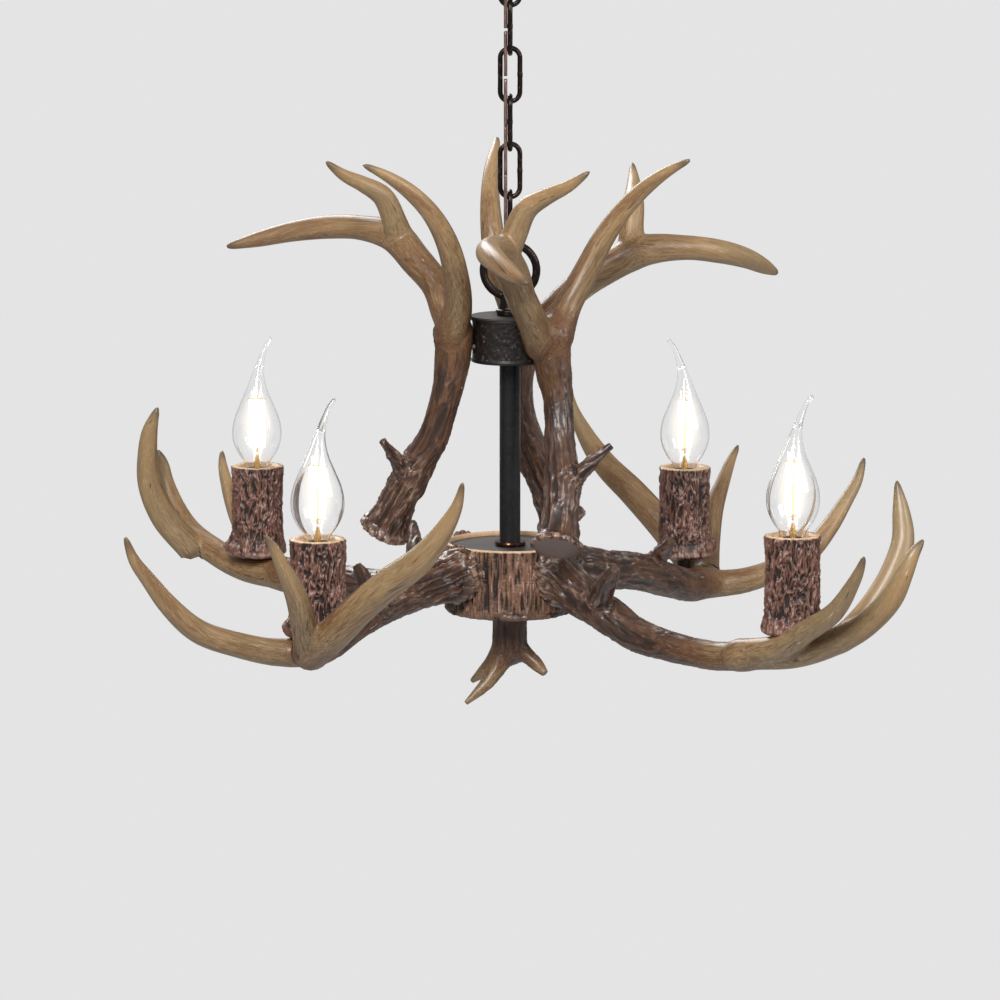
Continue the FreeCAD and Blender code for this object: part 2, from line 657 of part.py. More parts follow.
def supply_cord():
    """The two insulated strands, from the ceiling down beside the chain and in the pipe.

    They hang one behind the other, and turn to lie side by side inside the pipe. Returns
    the two strands.
    """
    beside_chain = V(-3.05, -4.35, 0)
    past_ring = V(-3.05, -5.55, 0)
    upper_ring = canopy_loop_height()
    lower_ring = RING_HEIGHT.value - DROP.value
    line = [
        V(0, 0, 0),
        V(0, 0, upper_ring + 10.2),
        past_ring + V(0, 0, upper_ring - 9.8),
        past_ring + V(0, 0, upper_ring - 26),
        beside_chain + V(0, 0, upper_ring - 50),
        beside_chain + V(0, 0, lower_ring + 52),
        past_ring + V(0, 0, lower_ring + 26),
        past_ring + V(0, 0, lower_ring + 9.8),
        V(0, 0, lower_ring - 10.2),
        V(0, 0, lower_ring - 110),
        V(0, 0, -DROP.value - 9),
        V(0, -8, -DROP.value - 23),
        V(0, -24, -DROP.value - 22),
        V(0, -29, -DROP.value - 35),
    ]
    one_behind = V(0, 1, 0) * (STRAND_STEP.value / 2)
    side_by_side = V(1, 0, 0) * (STRAND_STEP.value / 2)
    turning = V(0.8, 0.8, 0) * (STRAND_STEP.value / 2)
    spread = [one_behind] * 9 + [turning] + [side_by_side] * 4
    strands = []
    for key, side in (("front", -1), ("back", 1)):
        shifted = [point + offset * side for point, offset in zip(line, spread)]
        strands.append(swept("Strand_" + key, shifted, STRAND, CORD_BEND))
    node(group("SupplyCord", strands), "supply_cord")
    return strands


# ---------------------------------------------------------------------------- stem and hubs

def stem_and_hubs():
    """Upper hub with its plate and loop, stem on a threaded pipe, lower hub and its plate."""
    hub_top = UPPER_HUB_BASE + UPPER_HUB_HIGH
    bore = PIPE + HOLE_PLAY
    outline = [(UPPER_HUB, 0), (UPPER_HUB, UPPER_HUB_HIGH),
               (UPPER_HUB - UPPER_WALL * 2, UPPER_HUB_HIGH),
               (UPPER_HUB - UPPER_WALL * 2, UPPER_WALL), (bore, UPPER_WALL), (bore, 0)]
    drum = turned("UpperHub", outline, level(UPPER_HUB_BASE))
    holes = [radial_bar("UpperHubHole%d" % i, SCREW, 20.0, 12.0, angle, BOSS_HEIGHT)
             for i, angle in enumerate(boss_angles())]
    node(cut("UpperHubDrilled", drum, fuse("UpperHubHoles", holes)), "upper_hub")
    outline = [(UPPER_PLATE, 0), (UPPER_PLATE, UPPER_PLATE_HIGH), (bore, UPPER_PLATE_HIGH),
               (bore, 0)]
    node(turned("UpperPlate", outline, level(hub_top)), "upper_hub_plate")
    plate_top = hub_top + UPPER_PLATE_HIGH
    seat = plate_top.value - DROP.value
    node(hanging_loop("TopLoop", RING_HEIGHT.value - DROP.value, seat, 1), "top_loop")

    pipe_base = -LOWER_HUB_HIGH.value - FINIAL_THREAD
    pipe_top = RING_HEIGHT.value - RING_OUTER.value / 2 - 1.0
    pipe_long = pipe_top - pipe_base
    base = at(V(0, 0, pipe_base))
    bar = cylinder("PipeBar", PIPE, pipe_long, base)
    hollow = cylinder("PipeBore", PIPE_BORE, pipe_long, base)
    window = box("PipeWindow", 6.4, 8.0, 22.0, at(V(-3.2, -8.0, -31.0)))
    node(cut("Pipe", bar, fuse("PipeHollow", [hollow, window])), "threaded_pipe")

    outline = [(STEM, 0), (STEM, UPPER_HUB_BASE), (STEM_BORE, UPPER_HUB_BASE),
               (STEM_BORE, 0)]
    node(turned("Stem", outline, level(0)), "stem_tube")
    outline = [(WASHER - 1.2, 0), (WASHER, WASHER_HIGH * 0.35), (WASHER, WASHER_HIGH * 0.65),
               (WASHER - 1.2, WASHER_HIGH), (STEM_BORE, WASHER_HIGH), (STEM_BORE, 0)]
    node(turned("Washer", outline, level(-WASHER_HIGH.value)), "stem_washer")

    nuts = [nut("NutUpper", at(V(0, 0, UPPER_HUB_BASE.value + UPPER_WALL.value))),
            nut("NutPlate", at(V(0, 0, -9.0))),
            nut("NutFloor", at(V(0, 0, -LOWER_HUB_HIGH.value + LOWER_FLOOR.value)))]
    node(group("PipeNuts", nuts), "pipe_nuts")

    high = LOWER_HUB_HIGH
    ledge = high - PLATE_INSET - PLATE_HIGH
    outline = [(LOWER_HUB - 3, 0), (LOWER_HUB, 3), (LOWER_HUB, high),
               (LOWER_HUB - RIM_WALL * 2, high), (LOWER_HUB - RIM_WALL * 2, ledge),
               (LOWER_HUB - LOWER_WALL * 2, ledge), (LOWER_HUB - LOWER_WALL * 2, LOWER_FLOOR),
               (bore, LOWER_FLOOR), (bore, 0)]
    drum = turned("LowerHub", outline, level(-high.value))
    holes = [radial_bar("RootHole%d" % i, PIPE, 36.0, 12.0, angle, ROOT_HEIGHT)
             for i, angle in enumerate(root_angles().values())]
    node(cut("LowerHubDrilled", drum, fuse("RootHoles", holes)), "lower_hub")
    across = LOWER_HUB - RIM_WALL * 2 - 0.2
    outline = [(across, 0), (across, PLATE_HIGH), (bore, PLATE_HIGH), (bore, 0)]
    plate_place = level(-(PLATE_INSET + PLATE_HIGH).value)
    node(turned("LowerPlate", outline, plate_place), "lower_hub_plate")


def boss_angles():
    """Directions of the upper antlers' screws round the upper hub."""
    first = 197.0
    return [first, first + 120, first + 240]


def root_angles():
    """Directions of the lower antlers' roots round the lower hub."""
    return {"front_left": 219.0, "front_right": 317.0, "back_right": 39.0, "back_left": 137.0}


def radial_bar(name, diameter, start, long, angle, height):
    """A bar that points straight out from the light's axis."""
    out = V(math.cos(math.radians(angle)), math.sin(math.radians(angle)), 0)
    base = at(V(out.x * start, out.y * start, height))
    return cylinder(name, diameter, long, base, out)


# -------------------------------------------------------------------------------- antlers

def upper_antlers():
    """Three castings of one shape, each screwed to the upper hub through its boss."""
    drum = cylinder("UpperHubSpace", UPPER_HUB, UPPER_HUB_HIGH + 1,
                    at(V(0, 0, UPPER_HUB_BASE.value - 1)))
    over_plate = cylinder("PlateSpace", UPPER_PLATE + HOLE_PLAY, UPPER_PLATE_HIGH + 1,
                          at(V(0, 0, (UPPER_HUB_BASE + UPPER_HUB_HIGH).value - 0.3)))
    head_high = 2.3
    screws = []
    for (name, turn, angles, shift), boss_angle in zip(UPPER_ANTLERS, boss_angles()):
        label = "UpperAntler_" + name
        arms = casting(label, UPPER_TINES, lean(UPPER_PIVOT, angles, shift, turn))
        boss = radial_bar(label + "_boss", BOSS, 22.0, 17.0, boss_angle, BOSS_HEIGHT)
        solid = fuse(label + "_solid", [arms, boss])
        pilot = radial_bar(label + "_pilot", SCREW, 20.0, 18.0, boss_angle, BOSS_HEIGHT)
        node(cut_each(label + "_cut", solid, [drum, over_plate, pilot]), "upper_antler_" + name)
        shank = radial_bar(label + "_shank", SCREW, 23.0, 14.0, boss_angle, BOSS_HEIGHT)
        inside = UPPER_HUB.value / 2 - UPPER_WALL.value - head_high - 0.5
        head = radial_bar(label + "_head", SCREW_HEAD, inside, head_high, boss_angle,
                          BOSS_HEIGHT)
        screws.append(fuse(label + "_screw", [shank, head]))
    node(group("BossScrews", screws), "upper_antler_screws")


def lower_antlers():
    """Four castings of two shapes, each on a hollow nipple through the lower hub's wall.

    Returns the four branch wires.
    """
    drum = cylinder("LowerHubSpace", LOWER_HUB, LOWER_HUB_HIGH + 40,
                    at(V(0, 0, -LOWER_HUB_HIGH.value - 20)))
    nipples = []
    nuts = []
    sleeve_nipples = []
    wires = []
    for name, tines, pivot, turn, angles, shift in LOWER_ANTLERS:
        label = "LowerAntler_" + name
        place = lean(pivot, angles, shift, turn)
        arms = casting(label, tines, place)
        top = at(SLEEVES[name])
        seat_height = top.z - SLEEVE_HIGH.value
        seat = V(top.x, top.y, seat_height)
        pad = cylinder(label + "_pad", BOSS, 14.0, seat - V(0, 0, 14.0))
        solid = fuse(label + "_solid", [arms, pad])
        space = cylinder(label + "_space", SLEEVE_FOOT + 1.2, 80.0, seat)
        foot = seat - V(0, 0, THREAD_DEEP)
        peg = cylinder(label + "_peg", PIPE, THREAD_DEEP + 1, foot)
        angle = root_angles()[name]
        socket = radial_bar(label + "_socket", PIPE, 34.0, ROOT_REACH - 34.0, angle,
                            ROOT_HEIGHT)
        line = wire_line(name, tines, place, angle, top)
        channel = swept(label + "_channel", line, CHANNEL, WIRE_BEND)
        tools = [space, peg, socket, channel, drum]
        node(cut_each(label + "_cut", solid, tools), "lower_antler_" + name)

        long = ROOT_REACH - ROOT_INSIDE
        bar = radial_bar(label + "_nipple_bar", PIPE, ROOT_INSIDE, long, angle, ROOT_HEIGHT)
        hollow = radial_bar(label + "_nipple_bore", PIPE_BORE, ROOT_INSIDE, long, angle,
                            ROOT_HEIGHT)
        nipples.append(cut(label + "_nipple", bar, hollow))
        out = V(math.cos(math.radians(angle)), math.sin(math.radians(angle)), 0)
        inside = LOWER_HUB.value / 2 - LOWER_WALL.value - NUT_HIGH.value - 1.1
        nuts.append(nut(label + "_nut", at(out * inside + V(0, 0, ROOT_HEIGHT)), out))
        into_socket = 4.0
        rise = (SLEEVE_HIGH - SOCKET_INSET - SOCKET_HIGH).value + THREAD_DEEP + into_socket
        bar = cylinder(label + "_riser_bar", PIPE, rise, foot)
        hollow = cylinder(label + "_riser_bore", PIPE_BORE, rise, foot)
        sleeve_nipples.append(cut(label + "_riser", bar, hollow))
        leads = [at(point) for point in LEADS[name]]
        wires.append(swept(label + "_wire", leads + line, BRANCH_WIRE, WIRE_BEND))
    node(group("RootNipples", nipples), "root_nipples")
    node(group("RootNuts", nuts), "root_nuts")
    node(group("SleeveNipples", sleeve_nipples), "sleeve_nipples")
    node(group("BranchWires", wires), "branch_wires")
    return wires


def wire_line(name, tines, place, angle, sleeve_top):
    """Corners of the branch wire: in at the root, along the beam and up into the sleeve."""
    out = V(math.cos(math.radians(angle)), math.sin(math.radians(angle)), 0)
    inside = at(out * (ROOT_INSIDE - 7) + V(0, 0, ROOT_HEIGHT))
    root = at(out * (ROOT_REACH + ROOT_TURN) + V(0, 0, ROOT_HEIGHT - 1.0))
    beam = [place.multVec(V(x, y, z)) for x, y, z, radius in tines["beam"]]
    middle = [beam[row] for row in CHANNEL_ROWS[name]]
    seat = sleeve_top.z - SLEEVE_HIGH.value
    below = V(sleeve_top.x, sleeve_top.y, seat - WIRE_TURN_DEEP)
    end = V(sleeve_top.x, sleeve_top.y, sleeve_top.z - SOCKET_INSET.value - SOCKET_HIGH.value)
    return [inside, root] + middle + [below, end]


def finial():
    """The small antler under the hub, threaded on the end of the pipe."""
    place = FreeCAD.Placement(V(0, 0, -DROP.value), FreeCAD.Rotation())
    arms = casting("Finial", FINIAL_TINES, place)
    thread = cylinder("FinialThread", PIPE, FINIAL_THREAD + 1,
                      at(V(0, 0, -LOWER_HUB_HIGH.value - FINIAL_THREAD)))
    node(cut("FinialCut", arms, thread), "finial")


# ----------------------------------------------------------------- candle sleeves and lamps

def candle(name, top):
    """One candle: bark sleeve, lamp socket and a flame-tip bulb of three pieces."""
    place = FreeCAD.Placement(at(top) - V(0, 0, SLEEVE_HIGH.value), FreeCAD.Rotation())
    high = SLEEVE_HIGH
    bore = PIPE + 0.2
    outline = [(SLEEVE_FOOT - 1.5, 0), (SLEEVE_FOOT, 5), (SLEEVE_WAIST + 1.2, 14),
               (SLEEVE_WAIST, 34), (SLEEVE_TOP - 0.6, 54), (SLEEVE_TOP, high - 2),
               (SLEEVE_TOP - 1.2, high), (SLEEVE_BORE, high), (SLEEVE_BORE, SLEEVE_FLOOR),
               (bore, SLEEVE_FLOOR), (bore, 0)]
    node(turned("Sleeve_" + name, outline, place), "candle_sleeve_" + name)

    base = at(top) - V(0, 0, SOCKET_INSET.value + SOCKET_HIGH.value)
    outline = [(SOCKET - 2, 0), (SOCKET, 2), (SOCKET, SOCKET_HIGH),
               (SOCKET_BORE, SOCKET_HIGH), (SOCKET_BORE, 4.5), (PIPE, 4.5), (PIPE, 0)]
    place = FreeCAD.Placement(base, FreeCAD.Rotation())
    node(turned("Socket_" + name, outline, place), "lamp_socket_" + name)

    seat = at(top) - V(0, 0, BULB_INSET.value)
    high = CAP_HIGH
    floor = 7.5
    outline = [(4.5, 0), (8.0, 2.0), (CAP - 0.6, 5.5), (CAP, 7.0), (CAP, high),
               (CAP - 1.2, high), (CAP - 1.2, floor), (0, floor), (0, 0)]
    place = FreeCAD.Placement(seat - V(0, 0, high.value), FreeCAD.Rotation())
    node(turned("Cap_" + name, outline, place), "bulb_cap_" + name)

    turn = FreeCAD.Rotation(Z_UP, TIP_TURN[name])
    outer = tine("GlassOuter_" + name, FLAME)
    wall = GLASS_WALL.value
    inner_rows = [(x, y, z + (0 if i else -1.0), radius - wall)
                  for i, (x, y, z, radius) in enumerate(FLAME[:HOLLOW_ROWS])]
    inner = tine("GlassInner_" + name, inner_rows)
    glass = cut("Glass_" + name, outer, inner)
    glass.Placement = FreeCAD.Placement(seat, turn)
    node(glass, "bulb_glass_" + name)

    mount_base = floor - high.value
    mount_top = 14.0
    mount = cylinder("Mount_" + name, 6.0, mount_top - mount_base, V(0, 0, mount_base))
    rod = cylinder("Rod_" + name, 1.6, 39.0, V(0, 0, mount_top))
    spread = 4.6
    strips = [mount, rod]
    for i in range(4):
        angle = math.radians(45 + 90 * i)
        x, y = spread * math.cos(angle), spread * math.sin(angle)
        strips.append(cylinder("Strip%d_%s" % (i, name), FILAMENT, 34.0, V(x, y, mount_top + 1.5)))
    for height, key in ((mount_top, "low"), (mount_top + 35.5, "high")):
        strips.append(cylinder("Plate_%s_%s" % (key, name), 12.0, 1.5, V(0, 0, height)))
    filament = fuse("Filament_" + name, strips)
    filament.Placement = FreeCAD.Placement(seat, turn)
    node(filament, "bulb_filament_" + name)


# Centreline and radius of the bulb's glass, from its foot: a flame whose tip draws out into
# a solid bent tail.
FLAME = [(0, 0, 0, 6.9), (0, 0, 4, 8.8), (0, 0, 11, 13.4), (0, 0, 19, 16.8),
         (0, 0, 27, BULB.value / 2), (0, 0, 36, 15.9), (0, 0, 46, 12.0), (0.2, 0, 56, 7.8),
         (1.0, 0, 65, 4.9), (2.6, 0, 73, 3.1), (5.2, 0, 81, 2.0), (8.2, 0, 88, 1.5),
         (12.0, 0, 93, 1.3)]
HOLLOW_ROWS = 10


def terminal_block(ends):
    """The block on the lower hub's floor that the cord and the branch wires end in."""
    high = LOWER_HUB_HIGH.value - LOWER_FLOOR.value + BLOCK_TOP
    body = box("Block", 26.0, 14.0, high, at(V(-13, -34, BLOCK_TOP - high)))
    deep = 4.0
    wells = [cylinder("BlockScrew%d" % i, 3.0, deep, at(V(x, -32.2, BLOCK_TOP - deep)))
             for i, x in enumerate((-9, -3, 3, 9))]
    node(cut_each("BlockBored", body, wells + ends), "terminal_block")


# ------------------------------------------------------------------------------- the light

def build():
    """Makes every piece, checks it and writes it out."""
    ceiling_fitting()
    chain()
    strands = supply_cord()
    stem_and_hubs()
    upper_antlers()
    wires = lower_antlers()
    finial()
    for name, top in SLEEVES.items():
        candle(name, top)
    terminal_block(strands + wires)
    DOC.recompute()
    faults = [item.Name for item in DOC.Objects if {"Invalid", "Error"} & set(item.State)]
    for item in NODES:
        if item.Shape.isNull() or not item.Shape.isValid() or not item.Shape.Solids:
            faults.append(item.Label)
    if faults:
        raise RuntimeError("not built: " + ", ".join(faults))
    os.makedirs("parts", exist_ok=True)
    for item in NODES:
        item.Shape.exportStep(os.path.join("parts", item.Label + ".step"))
        box_of = item.Shape.BoundBox
        print("%-28s %2d solid(s) %9.0f mm3  z %.1f..%.1f"
              % (item.Label, len(item.Shape.Solids), item.Shape.Volume, box_of.ZMin, box_of.ZMax))
    print(len(NODES), "pieces")


build()
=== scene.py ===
"""Antler chandelier: every visible piece, its finish, the camera and the light.

Metres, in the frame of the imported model: the ceiling plane is z = 0 and the light hangs
below it. Tables of points are in millimetres from the rim of the lower hub, as cast.
"""
import json
import math
import bpy
import numpy as np
from mathutils import Matrix, Vector


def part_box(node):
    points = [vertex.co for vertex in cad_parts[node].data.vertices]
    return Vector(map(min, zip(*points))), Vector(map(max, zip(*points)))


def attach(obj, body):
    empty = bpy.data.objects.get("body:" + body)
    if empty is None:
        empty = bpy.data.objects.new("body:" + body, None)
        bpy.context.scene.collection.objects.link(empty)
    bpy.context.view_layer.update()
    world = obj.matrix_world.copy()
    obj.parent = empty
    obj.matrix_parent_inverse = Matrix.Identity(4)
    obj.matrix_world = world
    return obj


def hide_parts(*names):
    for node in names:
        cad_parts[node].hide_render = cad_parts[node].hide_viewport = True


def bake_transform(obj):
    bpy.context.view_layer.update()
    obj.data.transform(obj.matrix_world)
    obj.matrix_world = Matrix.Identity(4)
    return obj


bl_info = {
    "name": "Antler chandelier",
    "version": (1, 0, 0),
    "blender": (4, 5, 0),
    "location": "3D View > Sidebar > Chandelier",
    "description": "Builds the looks of a four-light antler chandelier round its packed model",
    "category": "Object",
}

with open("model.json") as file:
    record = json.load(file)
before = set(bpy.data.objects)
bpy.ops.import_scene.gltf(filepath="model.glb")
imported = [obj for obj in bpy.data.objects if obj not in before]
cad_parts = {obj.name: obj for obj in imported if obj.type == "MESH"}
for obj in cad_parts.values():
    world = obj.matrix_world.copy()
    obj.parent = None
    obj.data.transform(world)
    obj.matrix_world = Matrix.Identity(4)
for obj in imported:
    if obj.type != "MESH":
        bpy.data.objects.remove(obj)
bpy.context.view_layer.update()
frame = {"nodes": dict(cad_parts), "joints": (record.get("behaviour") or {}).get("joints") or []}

MM = 0.001
HUB_RIM, HUB_FOOT, HUB_RADIUS = -0.5, -0.548, 0.0445
UPPER_HUB_TOP, UPPER_HUB_FOOT, UPPER_HUB_RADIUS = -0.3457, -0.376, 0.0265
PIPE_HOLE = 0.0053
CENTRE_OF_LIGHT = (0, 0, -0.45)

# ------------------------------------------------------------------------------- castings
# Centreline and radius of each tine: x, y, z, radius. The last two numbers of each entry are
# the age of the bone at its start and end: 1 is old bark at the root, 0 is a polished tip.
UPPER_TINES = [
    ([(-86, 9, 6, 15.5), (-77, 1, 26, 12.5), (-67, -6, 47, 12.3), (-52, -12, 74, 10.3),
      (-43, -15, 103, 10.4), (-39, -13, 125, 12.3), (-38, -12, 145, 13)], 1.0, 0.36),
    ([(-40, -15, 145, 11.5), (-35, -26, 164, 9.5), (-36, -38, 185, 8.7),
      (-42, -49, 210, 7.6), (-53, -59, 231, 6.3), (-68, -68, 247, 5.1),
      (-82, -75, 257, 3.6), (-97, -83, 265, 1.6)], 0.36, 0.0),
    ([(-36, -5, 139, 11.5), (-43, 6, 155, 10.5), (-50, 19, 173, 10.3), (-65, 34, 190, 11),
      (-77, 49, 202, 11), (-104, 72, 208, 8.5), (-126, 86, 207, 8.2), (-152, 94, 203, 7.1),
      (-177, 97, 197, 5.2), (-198, 97, 192, 2)], 0.36, 0.0),
    ([(-74, 46, 200, 9.5), (-79, 41, 215, 8.5), (-87, 36, 233, 7.4), (-100, 28, 242, 5.6),
      (-113, 20, 249, 4.1), (-125, 11, 259, 1.6)], 0.2, 0.0),
    ([(-70, -7, 45, 6.5), (-78, -19, 60, 5), (-86, -32, 74, 2.3)], 0.95, 0.7),
]
FORKED_TINES = [
    ([(-25, -20, -17, 16.5), (-40, -33, -20, 16), (-54, -47, -23, 14), (-77, -75, -27, 13),
      (-100, -101, -36, 12), (-120, -138, -45, 11.5), (-131, -168, -45, 11)], 1.0, 0.34),
    ([(-124, -146, -45, 10.5), (-138, -159, -47, 9.8), (-154, -164, -46, 9),
      (-177, -171, -40, 8.3), (-202, -182, -29, 7.8), (-220, -194, -10, 6.6),
      (-232, -203, 8, 5.1), (-241, -211, 23, 3.7), (-246, -218, 39, 1.6)], 0.34, 0.0),
    ([(-131, -176, -44, 9.5), (-133, -197, -23, 8.5), (-137, -215, 0, 7.3),
      (-144, -227, 19, 5.2), (-150, -236, 34, 3.4), (-155, -242, 44, 1.6)], 0.34, 0.0),
    ([(-129, -178, -44, 11.5), (-116, -195, -30, 11.5), (-99, -208, -11, 10.8),
      (-78, -225, 10, 10.2), (-56, -244, 30, 8.8), (-42, -257, 50, 6.2),
      (-34, -265, 66, 3.8), (-30, -275, 83, 1.4)], 0.3, 0.0),
    ([(-87, -97, -28, 8.5), (-95, -85, -17, 6.5), (-102, -73, -5, 3.6)], 0.9, 0.6),
]
FANNED_TINES = [
    ([(24, -24, -14, 16.5), (35, -33, -21, 16), (47, -46, -29, 14), (64, -62, -39, 12.8),
      (87, -80, -51, 11.5), (108, -99, -55, 10.5), (135, -120, -57, 10),
      (156, -138, -54, 9.5)], 1.0, 0.26),
    ([(152, -136, -53, 9.8), (186, -157, -49, 8.9), (210, -178, -37, 8.8),
      (230, -197, -21, 8.3), (245, -207, -2, 7.5), (252, -212, 14, 5.8),
      (257, -212, 26, 4.5), (264, -210, 36, 1.8)], 0.26, 0.0),
    ([(152, -136, -53, 9.5), (177, -162, -43, 8.5), (192, -186, -28, 7.5),
      (208, -210, -11, 6.4), (217, -230, 9, 4.6), (221, -243, 22, 3.2),
      (223, -252, 32, 1.5)], 0.26, 0.0),
    ([(215, -180, -34, 7.6), (234, -180, -13, 8.1), (248, -173, 9, 7.9),
      (255, -165, 28, 7.5), (254, -160, 46, 5.8), (251, -156, 66, 1.6)], 0.14, 0.0),
    ([(59, -64, -31, 8.5), (64, -84, -16, 6.5), (70, -102, -2, 3.6)], 0.9, 0.6),
]
SWEPT_TINES = [
    ([(24, -24, -14, 16.5), (35, -33, -21, 16), (47, -46, -29, 14), (64, -62, -37, 13),
      (88, -80, -45, 12.3), (110, -100, -46, 12), (136, -121, -49, 12),
      (157, -139, -48, 12)], 1.0, 0.3),
    ([(153, -136, -48, 11.5), (187, -157, -47, 10), (213, -178, -38, 9.3),
      (234, -197, -25, 8.4), (247, -208, -7, 7), (253, -212, 7, 5.6), (256, -212, 19, 4.3),
      (260, -210, 29, 1.6)], 0.3, 0.0),
    ([(152, -137, -49, 9.5), (174, -162, -43, 8.7), (187, -186, -30, 7.7),
      (200, -210, -13, 6), (209, -230, 5, 4.6), (214, -243, 18, 3.2),
      (216, -252, 28, 1.5)], 0.3, 0.0),
    ([(228, -180, -39, 10), (250, -178, -16, 9.6), (261, -172, 8, 8.6),
      (263, -164, 28, 7.2), (262, -159, 46, 5.6), (257, -155, 64, 1.6)], 0.16, 0.0),
    ([(59, -64, -31, 8.5), (64, -84, -16, 6.5), (68, -102, -2, 3.6)], 0.9, 0.6),
]
FINIAL_TINES = [
    ([(0, 0, -48, 12.4), (0, 0, -58, 11.8), (0, 0, -68, 11.5), (1, 0, -76, 10.5)], 0.66, 0.5),
    ([(-1, 0, -70, 9), (-7, -4, -84, 6.8), (-15, -10, -96, 5), (-30, -20, -109, 1.6)],
     0.5, 0.2),
    ([(2, 0, -71, 8), (12, -4, -79, 5.2), (19, -8, -85, 4.5), (24, -12, -90, 2.5)], 0.5, 0.2),
    ([(-3, 4, -73, 8), (-11, 14, -87, 6), (-19, 22, -96, 4), (-26, 28, -103, 1.8)], 0.5, 0.2),
]
# Where an upper antler is screwed to its hub, which is the point that it leans about.
UPPER_PIVOT = (-27, 0, 140)
# Name, turn about the light's axis in degrees, lean in degrees and shift.
UPPER_ANTLERS = [
    ("left", 0, (0, 0, 0), (0, 0, 0)),
    ("right", 120, (2.0, 1.9, -1.0), (2.3, 0.3, 0)),
    ("back", 240, (-4.8, -4.3, 0), (0.7, 1.4, 0.1)),
]
# Name, tines, point that it leans about, turn, lean and shift.
LOWER_ANTLERS = [
    ("front_left", FORKED_TINES, (-35, -25, -25), 0, (0, 0, 0), (0, 0, 0)),
    ("back_right", FORKED_TINES, (-35, -25, -25), 180, (1.8, -0.8, -0.5), (-10.3, 0, -4.7)),
    ("front_right", FANNED_TINES, (35, -25, -25), 0, (0, 0, 0), (0, 0, 0)),
    ("back_left", SWEPT_TINES, (35, -25, -25), 180, (3.9, -3.9, -1.1), (4, 0, 0)),
]
# Centre of each candle sleeve's top, the bearing of the knob on its foot, and the bearing
# that the tail of its bulb points to.
SLEEVES = {
    "front_left": ((-125.5, -157, 27.6), 205, 20),
    "front_right": ((184, -152, 29.3), 330, 10),
    "back_right": ((125.5, 157, 27.6), 20, 170),
    "back_left": ((-180.5, 152, 29.3), 200, 35),
}


# ------------------------------------------------------------------------------- numbers

# Large odd numbers that scatter the corners of the noise's grid.
AXIS_STEPS = (73856093, 19349663, 83492791)
SEED_STEP, NUMBER_STEP, FIRST_NUMBER = 7919, 104729, 17
FIRST_MIX, SECOND_MIX = 2654435761, 2246822519
HALF_OF_ALL = 2147483647.5
NOISE_GAIN = 1.5
# How far a bead strays from its cell's middle, and its radius, both in cells.
BEAD_STRAY, BEAD_RADIUS = 0.33, 0.75


def grey(level):
    """A linear grey from its everyday value between 0 and 255."""
    return srgb(level, level, level)


def srgb(red, green, blue):
    """A linear colour from everyday values between 0 and 255."""
    def linear(value):
        value /= 255
        return value / 12.92 if value <= 0.04045 else ((value + 0.055) / 1.055) ** 2.4
    return (linear(red), linear(green), linear(blue))


def toned(colour, share):
    """A colour with each part multiplied by a share, and kept within 1."""
    return tuple(min(part * share, 1) for part in colour)


def step_between(low, high, value):
    """0 below low, 1 above high and a soft rise between."""
    t = np.clip((value - low) / (high - low), 0, 1)
    return t * t * (3 - 2 * t)


def corner_values(cell, seed):
    """A repeatable direction for each corner of a grid, as three numbers from -1 to 1."""
    x, y, z = (cell[:, k].astype(np.int64).astype(np.uint32) * np.uint32(AXIS_STEPS[k])
               for k in range(3))
    base = x ^ y ^ z
    values = []
    for k in range(3):
        mixed = base ^ np.uint32(seed * SEED_STEP + k * NUMBER_STEP + FIRST_NUMBER)
        mixed *= np.uint32(FIRST_MIX)
        mixed ^= mixed >> np.uint32(15)
        mixed *= np.uint32(SECOND_MIX)
        mixed ^= mixed >> np.uint32(13)
        values.append(mixed.astype(np.float64) / HALF_OF_ALL - 1)
    return np.stack(values, 1)


def noise(points, seed=0):
    """Gradient noise, about -1 to 1, at each point."""
    cell = np.floor(points)
    part = points - cell
    ease = part ** 3 * (part * (part * 6 - 15) + 10)
    total = 0
    for corner in np.ndindex(2, 2, 2):
        corner = np.array(corner, float)
        slope = corner_values(cell + corner, seed)
        weight = np.prod(np.where(corner > 0, ease, 1 - ease), axis=1)
        total = total + weight * ((part - corner) * slope).sum(1)
    return total * NOISE_GAIN


def layered(points, octaves, seed=0):
    """Several sizes of noise added up, each half as large and half as strong as the last."""
    return sum(noise(points * 2.0 ** k, seed + k) * 0.5 ** k for k in range(octaves))


def cracks(points, seed, sharpness):
    """Ridges of up to 1 with narrow valleys between them."""
    return 1 - np.abs(noise(points, seed)) * sharpness


def wandering(points, size, seed, reach):
    """Three slow noises that bend a pattern, as far as reach."""
    return np.stack([noise(points / size, seed + k) for k in range(3)], 1) * reach


def pearls(points, seed=0):
    """Rounded beads on a jittered grid: 1 at a bead's middle, 0 between beads."""
    cell = np.floor(points)
    nearest = np.full(len(points), 9.0)
    for offset in np.ndindex(3, 3, 3):
        corner = cell + np.array(offset, float) - 1
        centre = corner + 0.5 + corner_values(corner, seed) * BEAD_STRAY
        nearest = np.minimum(nearest, np.linalg.norm(points - centre, axis=1))
    return np.sqrt(np.clip(1 - (nearest / BEAD_RADIUS) ** 2, 0, 1))


